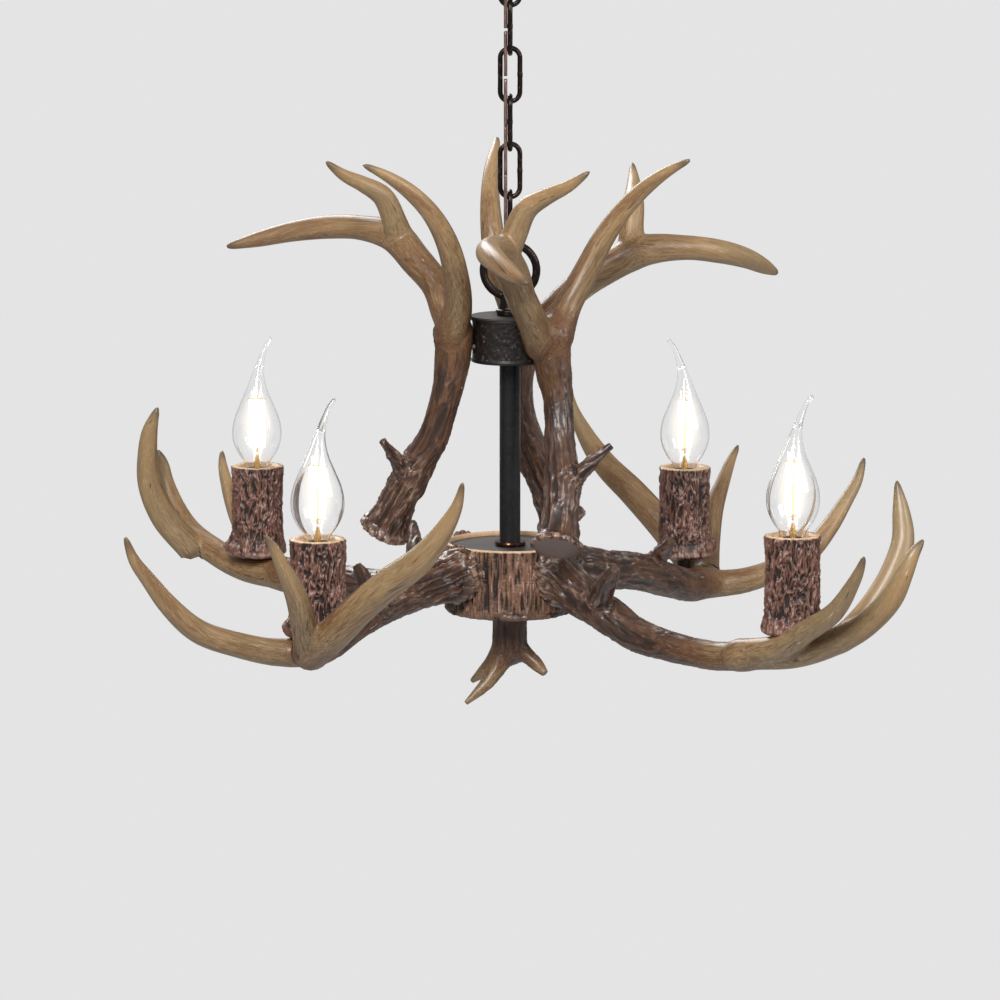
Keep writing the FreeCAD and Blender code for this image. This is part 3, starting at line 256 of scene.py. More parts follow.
def smooth_line(rows, spacing):
    """Rows of numbers resampled along a smooth curve, evenly and about spacing apart."""
    rows = np.array(rows, float)
    length = np.linalg.norm(np.diff(rows[:, :3], axis=0), axis=1)
    knot = np.concatenate([[0], np.cumsum(length)])
    slope = np.gradient(rows, knot, axis=0)
    place = np.linspace(0, knot[-1], max(int(knot[-1] / spacing), 4) + 1)
    index = np.clip(np.searchsorted(knot, place, side="right") - 1, 0, len(knot) - 2)
    span = (knot[index + 1] - knot[index])[:, None]
    t = (place - knot[index])[:, None] / span
    start, end = rows[index], rows[index + 1]
    first, last = slope[index] * span, slope[index + 1] * span
    return ((2 * t ** 3 - 3 * t ** 2 + 1) * start + (t ** 3 - 2 * t ** 2 + t) * first
            + (3 * t ** 2 - 2 * t ** 3) * end + (t ** 3 - t ** 2) * last)


def leaning(pivot, lean, shift, turn):
    """Where a casting stands: its lean and shift, its turn and the drop to the hub's rim."""
    angle = math.radians(Vector(lean).length)
    axis = Vector(lean) if angle else Vector((0, 0, 1))
    pivot = Vector(pivot) * MM
    tilt = (Matrix.Translation(pivot + Vector(shift) * MM)
            @ Matrix.Rotation(angle, 4, axis) @ Matrix.Translation(-pivot))
    return (Matrix.Translation((0, 0, HUB_RIM)) @ Matrix.Rotation(math.radians(turn), 4, "Z")
            @ tilt)


# ------------------------------------------------------------------- nodes of every kind

class Value:
    """A node's output that can be used in sums."""

    def __init__(self, nodes, socket):
        self.nodes = nodes
        self.socket = socket

    def __add__(self, other):
        return self.nodes.math("ADD", self, other)

    def __sub__(self, other):
        return self.nodes.math("SUBTRACT", self, other)

    def __rsub__(self, other):
        return self.nodes.math("SUBTRACT", other, self)

    def __mul__(self, other):
        return self.nodes.math("MULTIPLY", self, other)

    __radd__ = __add__
    __rmul__ = __mul__


class Nodes:
    """A node tree, filled by one method that adds a node of any kind."""

    def __init__(self, tree):
        self.tree = tree
        tree.nodes.clear()

    def add(self, kind, settings=None, inputs=None, output=0):
        """A node of any kind: its settings are set first, then its inputs are filled."""
        node = self.tree.nodes.new(kind)
        for key, value in (settings or {}).items():
            if key == "stops":
                self.set_stops(node.color_ramp, value)
            else:
                setattr(node, key, value)
        for key, value in (inputs or {}).items():
            if isinstance(value, Value):
                self.tree.links.new(value.socket, node.inputs[key])
            elif value is not None:
                node.inputs[key].default_value = value
        return Value(self, node.outputs[output]) if node.outputs else node

    def math(self, operation, *numbers):
        """A sum of one or two numbers."""
        return self.add("ShaderNodeMath", {"operation": operation}, dict(enumerate(numbers)))

    def parts(self, vector):
        """The x, y and z of a vector."""
        node = self.add("ShaderNodeSeparateXYZ", None, {0: vector}).socket.node
        return [Value(self, socket) for socket in node.outputs]

    def between(self, value, low, high):
        """A soft step from 0 at low to 1 at high."""
        return self.add("ShaderNodeMapRange", {"interpolation_type": "SMOOTHSTEP"},
                        {"Value": value, "From Min": low, "From Max": high})

    def set_stops(self, ramp, stops):
        """Puts the places and colours of a ramp."""
        while len(ramp.elements) > 1:
            ramp.elements.remove(ramp.elements[-1])
        ramp.elements[0].position = stops[0][0]
        for place, _ in stops[1:]:
            ramp.elements.new(place)
        for element, (place, colour) in zip(ramp.elements, stops):
            element.color = (*colour, 1)


class Finish(Nodes):
    """A material made from patterns on the piece's own coordinates."""

    SOCKETS = {"base": "Base Color", "roughness": "Roughness", "metallic": "Metallic",
               "normal": "Normal", "alpha": "Alpha", "coat": "Coat Weight",
               "coat_roughness": "Coat Roughness", "glow": "Emission Color",
               "glow_strength": "Emission Strength", "transmission": "Transmission Weight",
               "ior": "IOR", "specular": "Specular IOR Level"}

    def __init__(self, name):
        self.material = bpy.data.materials.new(name)
        self.material.use_nodes = True
        super().__init__(self.material.node_tree)
        self.place = self.add("ShaderNodeTexCoord", output=3)

    def attribute(self, name):
        """A number kept at each point of the mesh."""
        return self.add("ShaderNodeAttribute", {"attribute_name": name}, output=2)

    def arrow(self, name):
        """A vector kept at each point of the mesh."""
        return self.add("ShaderNodeAttribute", {"attribute_name": name}, output=1)

    def stretched(self, vector, factors):
        """Coordinates multiplied along each axis."""
        return self.add("ShaderNodeVectorMath", {"operation": "MULTIPLY"},
                        {0: vector, 1: factors})

    def pattern(self, vector, scale, detail, roughness):
        """Cloudy noise, scale times to a metre."""
        return self.add("ShaderNodeTexNoise", {"noise_dimensions": "3D"},
                        {"Vector": vector, "Scale": scale, "Detail": detail,
                         "Roughness": roughness})

    def ramp(self, value, stops):
        """A colour for each value."""
        return self.add("ShaderNodeValToRGB", {"stops": stops}, {"Fac": value})

    def blend(self, first, second, factor):
        """The first colour where the factor is 0 and the second where it is 1."""
        colours = [(*c, 1) if isinstance(c, tuple) else c for c in (first, second)]
        return self.add("ShaderNodeMix", {"data_type": "RGBA"},
                        {0: factor, 6: colours[0], 7: colours[1]}, output=2)

    def bump(self, height, strength, distance):
        """A roughened surface that is too fine for the mesh."""
        return self.add("ShaderNodeBump", None,
                        {"Height": height, "Strength": strength, "Distance": distance})

    def finish(self, **sockets):
        """Ends the material with a shader whose sockets are filled."""
        inputs = {}
        for key, value in sockets.items():
            inputs[self.SOCKETS[key]] = (*value, 1) if isinstance(value, tuple) else value
        shader = self.add("ShaderNodeBsdfPrincipled", None, inputs)
        self.add("ShaderNodeOutputMaterial", None, {"Surface": shader})
        return self.material


class Builder(Nodes):
    """A Geometry Nodes tree with named inputs, run once on an object and then applied."""

    def __init__(self, name, inputs):
        group = bpy.data.node_groups.new(name, "GeometryNodeTree")
        group.interface.new_socket("Geometry", in_out="OUTPUT", socket_type="NodeSocketGeometry")
        group.interface.new_socket("Geometry", in_out="INPUT", socket_type="NodeSocketGeometry")
        super().__init__(group)
        self.keys = {}
        for label, kind in inputs.items():
            socket = group.interface.new_socket(label, in_out="INPUT",
                                                socket_type="NodeSocket" + kind)
            self.keys[label] = socket.identifier
        start = group.nodes.new("NodeGroupInput")
        self.given = {socket.name: Value(self, socket) for socket in start.outputs if socket.name}

    def bars(self, curve, sides, caps):
        """Round bars along a curve, as thick as the radius that each point has."""
        section = self.add("GeometryNodeCurvePrimitiveCircle", None,
                           {"Resolution": sides, "Radius": 1.0})
        return self.add("GeometryNodeCurveToMesh", None,
                        {"Curve": curve, "Profile Curve": section, "Fill Caps": caps,
                         "Scale": self.add("GeometryNodeInputRadius")})

    def end(self, geometry):
        """Closes the tree: instances made real and the material put on."""
        real = self.add("GeometryNodeRealizeInstances", None, {"Geometry": geometry})
        painted = self.add("GeometryNodeSetMaterial", None,
                           {"Geometry": real, "Material": self.given["Material"]})
        self.add("NodeGroupOutput", None, {0: painted})

    def run(self, name, base, values, after=()):
        """The mesh that the tree makes of a data block, with more modifiers after it."""
        holder = bpy.data.objects.new(name + "_builder", base)
        bpy.context.scene.collection.objects.link(holder)
        modifier = holder.modifiers.new("Build", "NODES")
        modifier.node_group = self.tree
        for label, value in values.items():
            modifier[self.keys[label]] = value
        for kind, settings in after:
            extra = holder.modifiers.new(kind, kind)
            for key, value in settings.items():
                setattr(extra, key, value)
        ready = holder.evaluated_get(bpy.context.evaluated_depsgraph_get())
        mesh = bpy.data.meshes.new_from_object(ready)
        holder.modifiers.clear()
        bpy.data.objects.remove(holder)
        mesh.name = name
        return mesh


def path_curve(name, lines):
    """A curve of straight-segment splines with a radius at each point, in metres."""
    curve = bpy.data.curves.new(name, "CURVE")
    curve.dimensions = "3D"
    for rows in lines:
        spline = curve.splines.new("POLY")
        spline.points.add(len(rows) - 1)
        for point, row in zip(spline.points, rows):
            point.co = (*row[:3], 1)
            point.radius = row[3]
    return curve


def tube_builder():
    """Round bars along curves, with closed ends."""
    tree = Builder("RoundBars", {"Sides": "Int", "Material": "Material"})
    tree.end(tree.bars(tree.given["Geometry"], tree.given["Sides"], caps=True))
    return tree


def link_builder():
    """A chain link: a long ring of round wire, a little thicker at the weld on one side."""
    ring_points, wire_points, wire_sides = 96, 120, 20
    weld_core, weld_end, weld_swell = 0.0008, 0.0022, 0.12
    tree = Builder("ChainLink", {"Length": "Float", "Width": "Float", "Wire": "Float",
                                 "Height": "Float", "Turn": "Float", "Material": "Material"})
    given = tree.given
    half_wide = (given["Width"] - given["Wire"]) * 0.5
    half_long = (given["Length"] - given["Wire"]) * 0.5
    ring = tree.add("GeometryNodeCurvePrimitiveCircle", None,
                    {"Resolution": ring_points, "Radius": 1.0})
    across, along, _ = tree.parts(tree.add("GeometryNodeInputPosition"))
    up = along * half_wide + tree.math("SIGN", along) * (half_long - half_wide)
    spot = tree.add("ShaderNodeCombineXYZ", None, {0: across * half_wide, 2: up})
    shaped = tree.add("GeometryNodeSetPosition", None, {"Geometry": ring, "Position": spot})
    dense = tree.add("GeometryNodeResampleCurve", None, {"Curve": shaped, "Count": wire_points})
    east, _, height = tree.parts(tree.add("GeometryNodeInputPosition"))
    away = tree.between(tree.math("ABSOLUTE", height), weld_core, weld_end)
    weld = (1 - away) * tree.math("GREATER_THAN", east, 0.0)
    radius = tree.add("GeometryNodeSetCurveRadius", None,
                      {"Curve": dense, "Radius": (1 + weld * weld_swell) * given["Wire"] * 0.5})
    wire = tree.bars(radius, wire_sides, caps=False)
    shift = tree.add("ShaderNodeCombineXYZ", None, {2: given["Height"]})
    spin = tree.add("ShaderNodeCombineXYZ", None, {2: given["Turn"]})
    tree.end(tree.add("GeometryNodeTransform", None,
                      {"Geometry": wire, "Translation": shift, "Rotation": spin}))
    return tree


# -------------------------------------------------------------------------------- meshes

def piece(name, mesh, body, stands_for=()):
    """An object at the origin that rides on a body, in place of the nodes it stands for.

    The cord has no body of its own, because it blends from one link to the next.
    """
    obj = bpy.data.objects.new(name, mesh)
    bpy.context.scene.collection.objects.link(obj)
    mesh.shade_smooth()
    if body:
        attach(obj, body)
    if stands_for:
        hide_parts(*stands_for)
    return obj


def mesh_of(name, points, faces, material, attributes=None):
    """A mesh from lists of points and faces, with its point attributes."""
    mesh = bpy.data.meshes.new(name)
    mesh.from_pydata([tuple(p) for p in points], [], [tuple(f) for f in faces])
    mesh.materials.append(material)
    add_attributes(mesh, attributes or {})
    mesh.update()
    return mesh


def points_of(mesh, what="co"):
    """The places, or the normals, of a mesh's points."""
    values = np.zeros(len(mesh.vertices) * 3)
    mesh.vertices.foreach_get(what, values)
    return values.reshape(-1, 3)


def reshape(mesh, points, material):
    """Moves a mesh's points, and gives it one material."""
    mesh.vertices.foreach_set("co", points.ravel())
    mesh.materials.clear()
    mesh.materials.append(material)
    mesh.update()


def soften(mesh, material, amount, size, seed=0):
    """Moves a mesh in and out a little, as hand-made metal is."""
    points = points_of(mesh)
    rise = noise(points / size, seed) * amount
    reshape(mesh, points + points_of(mesh, "normal") * rise[:, None], material)


def add_attributes(mesh, attributes):
    """Numbers or vectors kept at each point, for the finish to read."""
    for name, values in attributes.items():
        values = np.asarray(values, np.float32)
        kind = "FLOAT" if values.ndim == 1 else "FLOAT_VECTOR"
        layer = mesh.attributes.new(name, kind, "POINT")
        layer.data.foreach_set("value" if values.ndim == 1 else "vector", values.ravel())


def grid_faces(rows, columns, wrap_rows=False, start=0):
    """Four-sided faces of a grid whose columns close round."""
    faces = []
    for i in range(rows if wrap_rows else rows - 1):
        here, after = i * columns, (i + 1) % rows * columns
        for j in range(columns):
            k = (j + 1) % columns
            faces.append((start + here + j, start + here + k,
                          start + after + k, start + after + j))
    return faces


def turned(name, rows, sides, wall, material, centre=(0, 0, 0)):
    """A mesh whose closed outline is turned about an upright axis.

    The rows of the outline are radius, height and whether relief is allowed. For every point
    wall(angle, radius, height) gives how far it moves outwards, and what it keeps there for
    the finish.
    """
    angle = np.tile(np.linspace(0, 2 * math.pi, sides, endpoint=False), len(rows))
    radius, height, rough = (np.repeat(rows[:, k], sides) for k in range(3))
    rise, kept = wall(angle, radius, height)
    radius = radius + rough * rise
    points = np.stack([radius * np.cos(angle), radius * np.sin(angle), height], 1)
    return mesh_of(name, points + np.array(centre), grid_faces(len(rows), sides, wrap_rows=True),
                   material, kept)


def on_wall(angle, radius, height):
    """The place of each point of a turned piece, about its own axis."""
    return np.stack([np.cos(angle) * radius, np.sin(angle) * radius, height], 1)


def dense_outline(corners, fine):
    """An outline with points every fine metres along the runs that carry relief.

    Each corner is (radius, height, rough); a run is rough when both its ends are. The result
    has a third column: 1 on rough points, 0 elsewhere.
    """
    rows = []
    for here, after in zip(corners, corners[1:] + corners[:1]):
        rough = here[2] and after[2]
        gap = math.hypot(after[0] - here[0], after[1] - here[1])
        count = max(int(gap / fine), 1) if rough else 1
        for k in range(count):
            t = k / count
            rows.append([here[i] + (after[i] - here[i]) * t for i in range(2)]
                        + [1.0 if here[2] and (rough or k == 0) else 0.0])
    return np.array(rows)


def swept_rings(rows, sides):
    """Rings of points round a centreline, carried along without twisting."""
    rows = np.asarray(rows, float)
    centre, radius = rows[:, :3], rows[:, 3]
    ahead = np.gradient(centre, axis=0)
    ahead /= np.linalg.norm(ahead, axis=1)[:, None]
    side = np.cross(ahead[0], (0.31, 0.95, 0.05))
    side /= np.linalg.norm(side)
    angle = np.linspace(0, 2 * math.pi, sides, endpoint=False)[:, None]
    rings = []
    for i in range(len(rows)):
        side = side - ahead[i] * (side @ ahead[i])
        side /= np.linalg.norm(side)
        up = np.cross(ahead[i], side)
        rings.append(centre[i] + radius[i] * (np.cos(angle) * side + np.sin(angle) * up))
    return np.concatenate(rings)


# ------------------------------------------------------------------------------- antlers

class Skeleton:
    """The tines of one casting, and the surface that wraps them.

    A tine's surface lies at its radius from its centreline. Where tines meet, the surfaces
    run together in a soft web, and cuts trim the whole.
    """

    SPACING = 0.0015
    TIP_TAPER = (0.95, 0.78, 0.42)
    # How fast a tine loses its bark from its start on: under 1 is faster at first.
    WEAR_CURVE = 0.7
    YOUNG_TIP = 0.1
    WEB, WEB_SHARE = 0.0015, 0.75
    # How little the grain changes along a tine beside how it changes across it.
    GRAIN_STRETCH = 0.13

    def __init__(self, tines, place, cuts=()):
        self.lines = []
        self.cuts = cuts
        turn = np.array(place.to_3x3())
        move = np.array(place.translation)
        for rows, old, young in tines:
            line = smooth_line(np.array(rows) * MM, self.SPACING)
            line[:, :3] = line[:, :3] @ turn.T + move
            if young == 0:
                line[-3:, 3] *= self.TIP_TAPER
            self.lines.append((line, old, young))
        ends = np.array([line[-1, :3] for line, _, _ in self.lines])
        span = ends.mean(0) - self.lines[0][0][0, :3]
        self.lengthwise = span / np.linalg.norm(span)

    def near_tine(self, points, line, old, young):
        """For one tine: depth, direction, offset, run, age, thickness and way to the tip."""
        centre, radius = line[:, :3], line[:, 3]
        square = ((points ** 2).sum(1)[:, None] + (centre ** 2).sum(1)[None]
                  - 2 * points @ centre.T)
        nearest = np.clip(square.argmin(1), 1, len(line) - 2)
        before = centre[nearest - 1]
        chord = centre[nearest + 1] - before
        t = np.clip(((points - before) * chord).sum(1) / (chord ** 2).sum(1), 0, 1)
        size = radius[nearest - 1] + (radius[nearest + 1] - radius[nearest - 1]) * t
        offset = points - (before + chord * t[:, None])
        gap = np.linalg.norm(offset, axis=1)
        run = (nearest - 1 + 2 * t) / (len(line) - 1)
        whole = np.linalg.norm(np.diff(centre, axis=0), axis=1).sum()
        age = old + (young - old) * run ** self.WEAR_CURVE
        to_tip = (1 - run) * whole if young < self.YOUNG_TIP else whole + 0 * run
        return gap - size, unit(offset, gap), offset, run * whole, age, size, to_tip

    def at(self, points):
        """Distance to the surface, its outward direction, and where each point lies."""
        told = [self.near_tine(points, *tine) for tine in self.lines]
        depths, aways, sides, runs, ages, thicks, tips = (np.stack(v) for v in zip(*told))
        pull = np.exp(-(depths - depths.min(0)) / self.WEB)
        total = pull.sum(0)
        depth = depths.min(0) - self.WEB * np.log(total) * self.WEB_SHARE
        share = pull / total
        away = (aways * share[:, :, None]).sum(0)
        away = unit(away, np.linalg.norm(away, axis=1))
        side = (sides * share[:, :, None]).sum(0)
        run, age, thick, tip = ((v * share).sum(0) for v in (runs, ages, thicks, tips))
        flat = np.zeros(len(points))
        for cut in self.cuts:
            distance, direction = cut(points)
            over = distance > depth
            depth = np.where(over, distance, depth)
            away = np.where(over[:, None], direction, away)
            flat = np.where(over, 1.0, flat)
        grain = side + self.lengthwise * (run * self.GRAIN_STRETCH)[:, None]
        return {"depth": depth, "away": away, "side": side, "grain": grain, "age": age,
                "thick": thick, "flat": flat, "tip": tip}


def unit(vectors, lengths):
    """Vectors divided by their lengths."""
    return vectors / np.maximum(lengths, 1e-9)[:, None]


def plane_cut(point, direction):
    """Trims what lies beyond a plane."""
    point, direction = np.array(point, float), np.array(direction, float)
    direction /= np.linalg.norm(direction)

    def cut(points):
        return (points - point) @ direction, np.broadcast_to(direction, points.shape)
    return cut


def drum_cut(radius, low, high):
    """Trims what lies inside an upright drum on the light's axis."""
    def cut(points):
        across = np.hypot(points[:, 0], points[:, 1])
        distance = np.where((points[:, 2] > low) & (points[:, 2] < high), radius - across, -1)
        inwards = -points * np.array((1, 1, 0)) / np.maximum(across, 1e-9)[:, None]
        return distance, inwards
    return cut


def cast(name, tines, place, settings, material, cuts, seed, burr=None, gnarl=1.0):
    """The mesh of one casting: bars along its tines, fused, webbed at the forks, then bark."""
    bar_sides, passes, reach = 28, 3, 0.003
    skeleton = Skeleton(tines, place, cuts)
    lines = [line[::2] if len(line) % 2 else np.vstack([line[::2], line[-1]])
             for line, _, _ in skeleton.lines]
    mesh = tube_builder().run(name, path_curve(name, lines),
                              {"Sides": bar_sides, "Material": material},
                              [("REMESH", {"mode": "VOXEL", "voxel_size": settings.detail})])
    points = points_of(mesh)
    for _ in range(passes):
        field = skeleton.at(points)
        points = points - field["away"] * np.clip(field["depth"], -reach, reach)[:, None]
    field = skeleton.at(points)
    height, relief = bark(field, points, settings.relief * gnarl, burr, seed)
    reshape(mesh, points + field["away"] * height[:, None], material)
    add_attributes(mesh, {"age": field["age"], "relief": relief, "grain": field["grain"],
                          "cut": field["flat"], "tip": field["tip"]})
    return mesh


def bark(field, points, deep, burr, seed):
    """How far the surface rises from the plain tine, and the same as a share of 1."""
    # Sizes of the patterns in metres, then how far they rise, then plain shares.
    plate, crack, lump, swell, bead = 0.0046, 0.0023, 0.014, 0.013, 0.0048
    patch, bend, bend_reach, thinnest = 0.02, 0.011, 0.0009, 0.0035
    old_lump, old_swell, young_lump, young_swell = 0.0009, 0.0008, 0.0004, 0.0006
    smooth_swell, collar_rise, bead_rise = 0.00035, 0.0006, 0.0026
    patch_age, sharpness, young_depth = 0.10, 2.5, 0.30
    coarse_share, fine_share, crest, young_crest = 0.62, 0.38, 0.62, 0.7
    side, lengthwise = field["side"], field["grain"] - field["side"]
    age = field["age"] + patch_age * noise(points / patch, seed + 5)
    old = step_between(0.46, 0.80, age)
    middle = step_between(0.16, 0.5, age) * (1 - old)
    warp = wandering(points, bend, seed + 11, bend_reach)
    coarse = cracks((side + lengthwise * 0.9 + warp) / plate, seed + 1, sharpness)
    fine = cracks((side + lengthwise * 1.5 + warp) / crack, seed + 2, sharpness)
    lumps = layered(points / lump, 2, seed + 3)
    broad = noise((side + lengthwise * 0.7) / swell, seed + 4)
    ridges = np.clip(coarse_share * coarse + fine_share * fine, 0, 1)
    height = old * (deep * (ridges - crest) + old_lump * lumps + old_swell * broad)
    height = height + middle * (deep * young_depth * (np.clip(fine, 0, 1) - young_crest)
                                + young_swell * broad + young_lump * lumps)
    height = height + (1 - old) * smooth_swell * broad
    relief = ridges * np.maximum(old, 0.6 * middle) + 0.5 * (1 - np.maximum(old, middle))
    if burr is not None:
        collar = burr(points)
        beads = pearls(points / bead + warp * 100, seed + 7)
        height = height * (1 - collar) + collar * (collar_rise + bead_rise * beads)
        relief = relief * (1 - collar) + collar * beads
    keep = (1 - field["flat"]) * step_between(0.0, thinnest, field["thick"])
    return height * keep, relief


# ------------------------------------------------------------------------------ finishes

# Patterns that run along the grain of a tine: how many to a metre, detail and roughness.
GRAIN = {"streak": (620.0, 4.0, 0.62), "hair": (1700.0, 2.0, 0.5), "patch": (150.0, 3.0, 0.6),
         "swirl": (48.0, 3.0, 0.6), "line": (900.0, 3.0, 0.7), "dry": (1100.0, 3.0, 0.7),
         "nick": (420.0, 2.0, 0.5), "chip": (640.0, 2.0, 0.5)}


def antler_finish(name, settings):
    """Cast resin painted as bone and bark, from the age and relief kept on the mesh."""
    f = Finish(name)
    age, relief, cut = f.attribute("age"), f.attribute("relief"), f.attribute("cut")
    grain = f.arrow("grain")
    streak, hair, patch, swirl, line, dry, nick, chip = (
        f.pattern(grain, *numbers) for numbers in GRAIN.values())
    cloud = f.pattern(f.place, 38.0, 2.0, 0.5)
    years = age + (cloud - 0.5) * 0.30 + (patch - 0.5) * 0.34
    old = f.between(years, 0.42, 0.66)
    body = f.ramp(years, [(0.0, tuple(settings.bone)), (0.12, tuple(settings.bone)),
                          (0.30, tuple(settings.honey)), (0.48, tuple(settings.brown)),
                          (0.72, tuple(settings.bark))])
    # Each layer of paint over the last: its colour, where it lies and how dense it is.
    layers = (
        (settings.olive, f.between(swirl, 0.46, 0.60) * f.between(years, 0.40, 0.22), 0.75),
        (settings.honey, f.between(swirl, 0.50, 0.36) * f.between(years, 0.55, 0.35), 0.65),
        (settings.honey, f.between(streak, 0.56, 0.40) * f.between(age, 0.0, 0.2), 0.6),
        (settings.brown, f.between(line, 0.56, 0.64) * f.between(age, 0.02, 0.24), 0.75),
        (settings.cream, f.between(hair, 0.54, 0.70) * f.between(age, 0.70, 0.2), 0.24),
        # Painted shade darkens the bottom of the grooves in the old bark.
        (settings.painted_crevice_shade, f.between(relief, 0.44, 0.10) * f.between(years, 0.30, 0.55), 0.75),
        # Painted highlight, over dry-brushed paint, on the crests of the old bark.
        (settings.drybrush_and_highlight, f.between(relief, 0.62, 0.94) * old * f.between(hair, 0.36, 0.58), 0.55),
        (settings.drybrush_and_highlight, f.between(dry, 0.58, 0.68) * old * f.between(relief, 0.3, 0.6), 0.5),
        (settings.bark, f.between(nick, 0.34, 0.26) * (1 - old), 0.8),
        (settings.cream, f.between(chip, 0.74, 0.78), 0.8),
        (settings.tip, f.between(f.attribute("tip") + (cloud - 0.5) * 0.01, 0.015, 0.001), 0.8),
        (settings.cut, cut, 1.0),
    )
    for colour, mask, density in layers:
        body = f.blend(body, tuple(colour), mask * density)
    fine = streak * 0.6 + hair * 0.4
    return f.finish(base=body, roughness=0.34 + streak * 0.18, coat=0.2 + old * 0.3,
                    coat_roughness=0.2, normal=f.bump(fine * (0.45 + old), 0.65, 0.0007))


def bark_finish(name, body, settings, wear):
    """Painted bark on a turned piece: painted shade in the grooves, dust and a painted highlight
    on the ridges.
    """
    groove, dust_and_highlight, rim = (tuple(c) for c in (settings.groove, settings.dust_and_highlight, settings.rim))
    f = Finish(name)
    relief = f.attribute("relief")
    tall = f.stretched(f.place, (1.0, 1.0, 0.16))
    streak = f.pattern(tall, 700.0, 4.0, 0.6)
    cloud = f.pattern(f.place, 60.0, 2.0, 0.5)
    grit = f.pattern(f.place, 1500.0, 2.0, 0.6)
    colour = f.blend(body, toned(body, 0.55), f.between(cloud, 0.35, 0.7))
    # Painted highlight, with dry-brushed paint, on the crests; wear sets its strength and that of
    # the dust.
    crest = f.between(relief, 0.62, 0.92) * f.between(streak, 0.34, 0.58)
    powder = f.between(grit, 0.56, 0.68) * f.between(relief, 0.35, 0.7)
    wood = f.blend(rim, toned(rim, 0.72), f.between(streak, 0.35, 0.7) * 0.6)
    layers = (
        (toned(body, 1.5), f.between(streak, 0.55, 0.75) * 0.5),
        # Painted shade in the grooves.
        (groove, f.between(relief, 0.46, 0.12) * 0.95),
        (dust_and_highlight, crest * wear),
        (dust_and_highlight, powder * wear * 0.6),
        (wood, f.attribute("rim")),
    )
    for paint_colour, mask in layers:
        colour = f.blend(colour, paint_colour, mask)
    height = streak * 0.5 + grit * 0.5
    return f.finish(base=colour, roughness=0.4 + grit * 0.25, coat=0.35, coat_roughness=0.22,
                    normal=f.bump(height, 0.45, 0.0005))


def metal_finish(name, base, worn, roughness, metallic, wear, scale):
    """Painted or patinated metal: mottled, rubbed bright in places, a little pitted."""
    f = Finish(name)
    mottle = f.pattern(f.place, scale, 4.0, 0.6)
    grain = f.pattern(f.place, scale * 7, 2.0, 0.5)
    broad = f.pattern(f.place, scale * 0.22, 2.0, 0.5)
    rubbed = f.between(mottle + (broad - 0.5) * 0.3, 0.54, 0.70)
    colour = f.blend(base, toned(base, 0.5), f.between(broad, 0.35, 0.65) * 0.6)
    colour = f.blend(colour, worn, rubbed * wear)
    rough = roughness + (grain - 0.5) * 0.18 - rubbed * 0.08
    return f.finish(base=colour, roughness=rough, metallic=metallic,
                    normal=f.bump(mottle * 0.7 + grain * 0.3, 0.25, 0.0003))


def plain_finish(name, base, roughness, metallic=0.0, scale=400.0):
    """A moulded or plated surface with a fine even texture."""
    f = Finish(name)
    grain = f.pattern(f.place, scale, 3.0, 0.6)
    colour = f.blend(base, toned(base, 0.8), f.between(grain, 0.35, 0.7) * 0.5)
    return f.finish(base=colour, roughness=roughness + (grain - 0.5) * 0.15,
                    metallic=metallic, normal=f.bump(grain, 0.12, 0.0003))


def repaint(nodes, material):
    """Gives CAD pieces whose shape is right their finish."""
    for name in nodes:
        obj = frame["nodes"][name]
        obj.data.materials.clear()
        obj.data.materials.append(material)


# ------------------------------------------------------------------------------ settings

def paint(label, words, colour):
    """A colour that a user would change."""
    return bpy.props.FloatVectorProperty(name=label, description=words, default=colour,
                                         size=3, min=0.0, max=1.0, subtype="COLOR")


def length(label, words, metres):
    """A size that a user would change."""
    return bpy.props.FloatProperty(name=label, description=words, default=metres, min=0.0,
                                   unit="LENGTH", precision=4)


class AntlerSettings(bpy.types.PropertyGroup):
    """The castings and their paint."""
    detail: length("Mesh detail", "Size of the faces that a casting is made of", 0.0011)
    relief: length("Bark depth", "Depth of the grooves in the oldest bark", 0.0022)
    tip: paint("Tips", "Greyed ends of the tines", srgb(92, 76, 58))
    bone: paint("Bone", "Smooth upper part of the tines", srgb(164, 132, 92))
    cream: paint("Worn bone", "Pale streaks on smooth bone", srgb(222, 200, 164))
    olive: paint("Olive", "Greyed tan along one side of a tine", srgb(142, 121, 88))
    honey: paint("Streaks", "Warm streaks and the start of the bark", srgb(106, 71, 41))
    brown: paint("Young bark", "Paint half-way down a beam", srgb(80, 51, 37))
    bark: paint("Old bark", "Paint at the root of a beam", srgb(66, 43, 35))
    # Painted shade at the bottom of the bark's grooves.
    painted_crevice_shade: paint("Crevices", "Bottom of the grooves", srgb(22, 15, 15))
    # Dry-brushed paint, and a painted highlight on the crests of the bark.
    drybrush_and_highlight: paint("Ridges", "Dry-brushed crests", srgb(200, 168, 148))
    cut: paint("Sawn faces", "Flat ends of the beams", srgb(98, 70, 58))


class MetalSettings(bpy.types.PropertyGroup):
    """Chain, loops, hub plates, stem and the hidden fittings."""
    bronze: paint("Bronze", "Dark bronze of chain and loops", srgb(52, 44, 41))
    rubbed: paint("Rubbed bronze", "Where the bronze is worn bright", srgb(134, 110, 98))
    stem: paint("Stem", "Satin black of the stem", srgb(36, 36, 38))
    plate: paint("Plate", "Dark plate in the lower hub", srgb(74, 71, 69))
    zinc: paint("Zinc", "Bracket, nuts, nipples and screws", srgb(146, 146, 142))
    wire: length("Chain wire", "Thickness of a link's wire", 0.0034)
    width: length("Link width", "Width of a link over its wire", 0.0167)


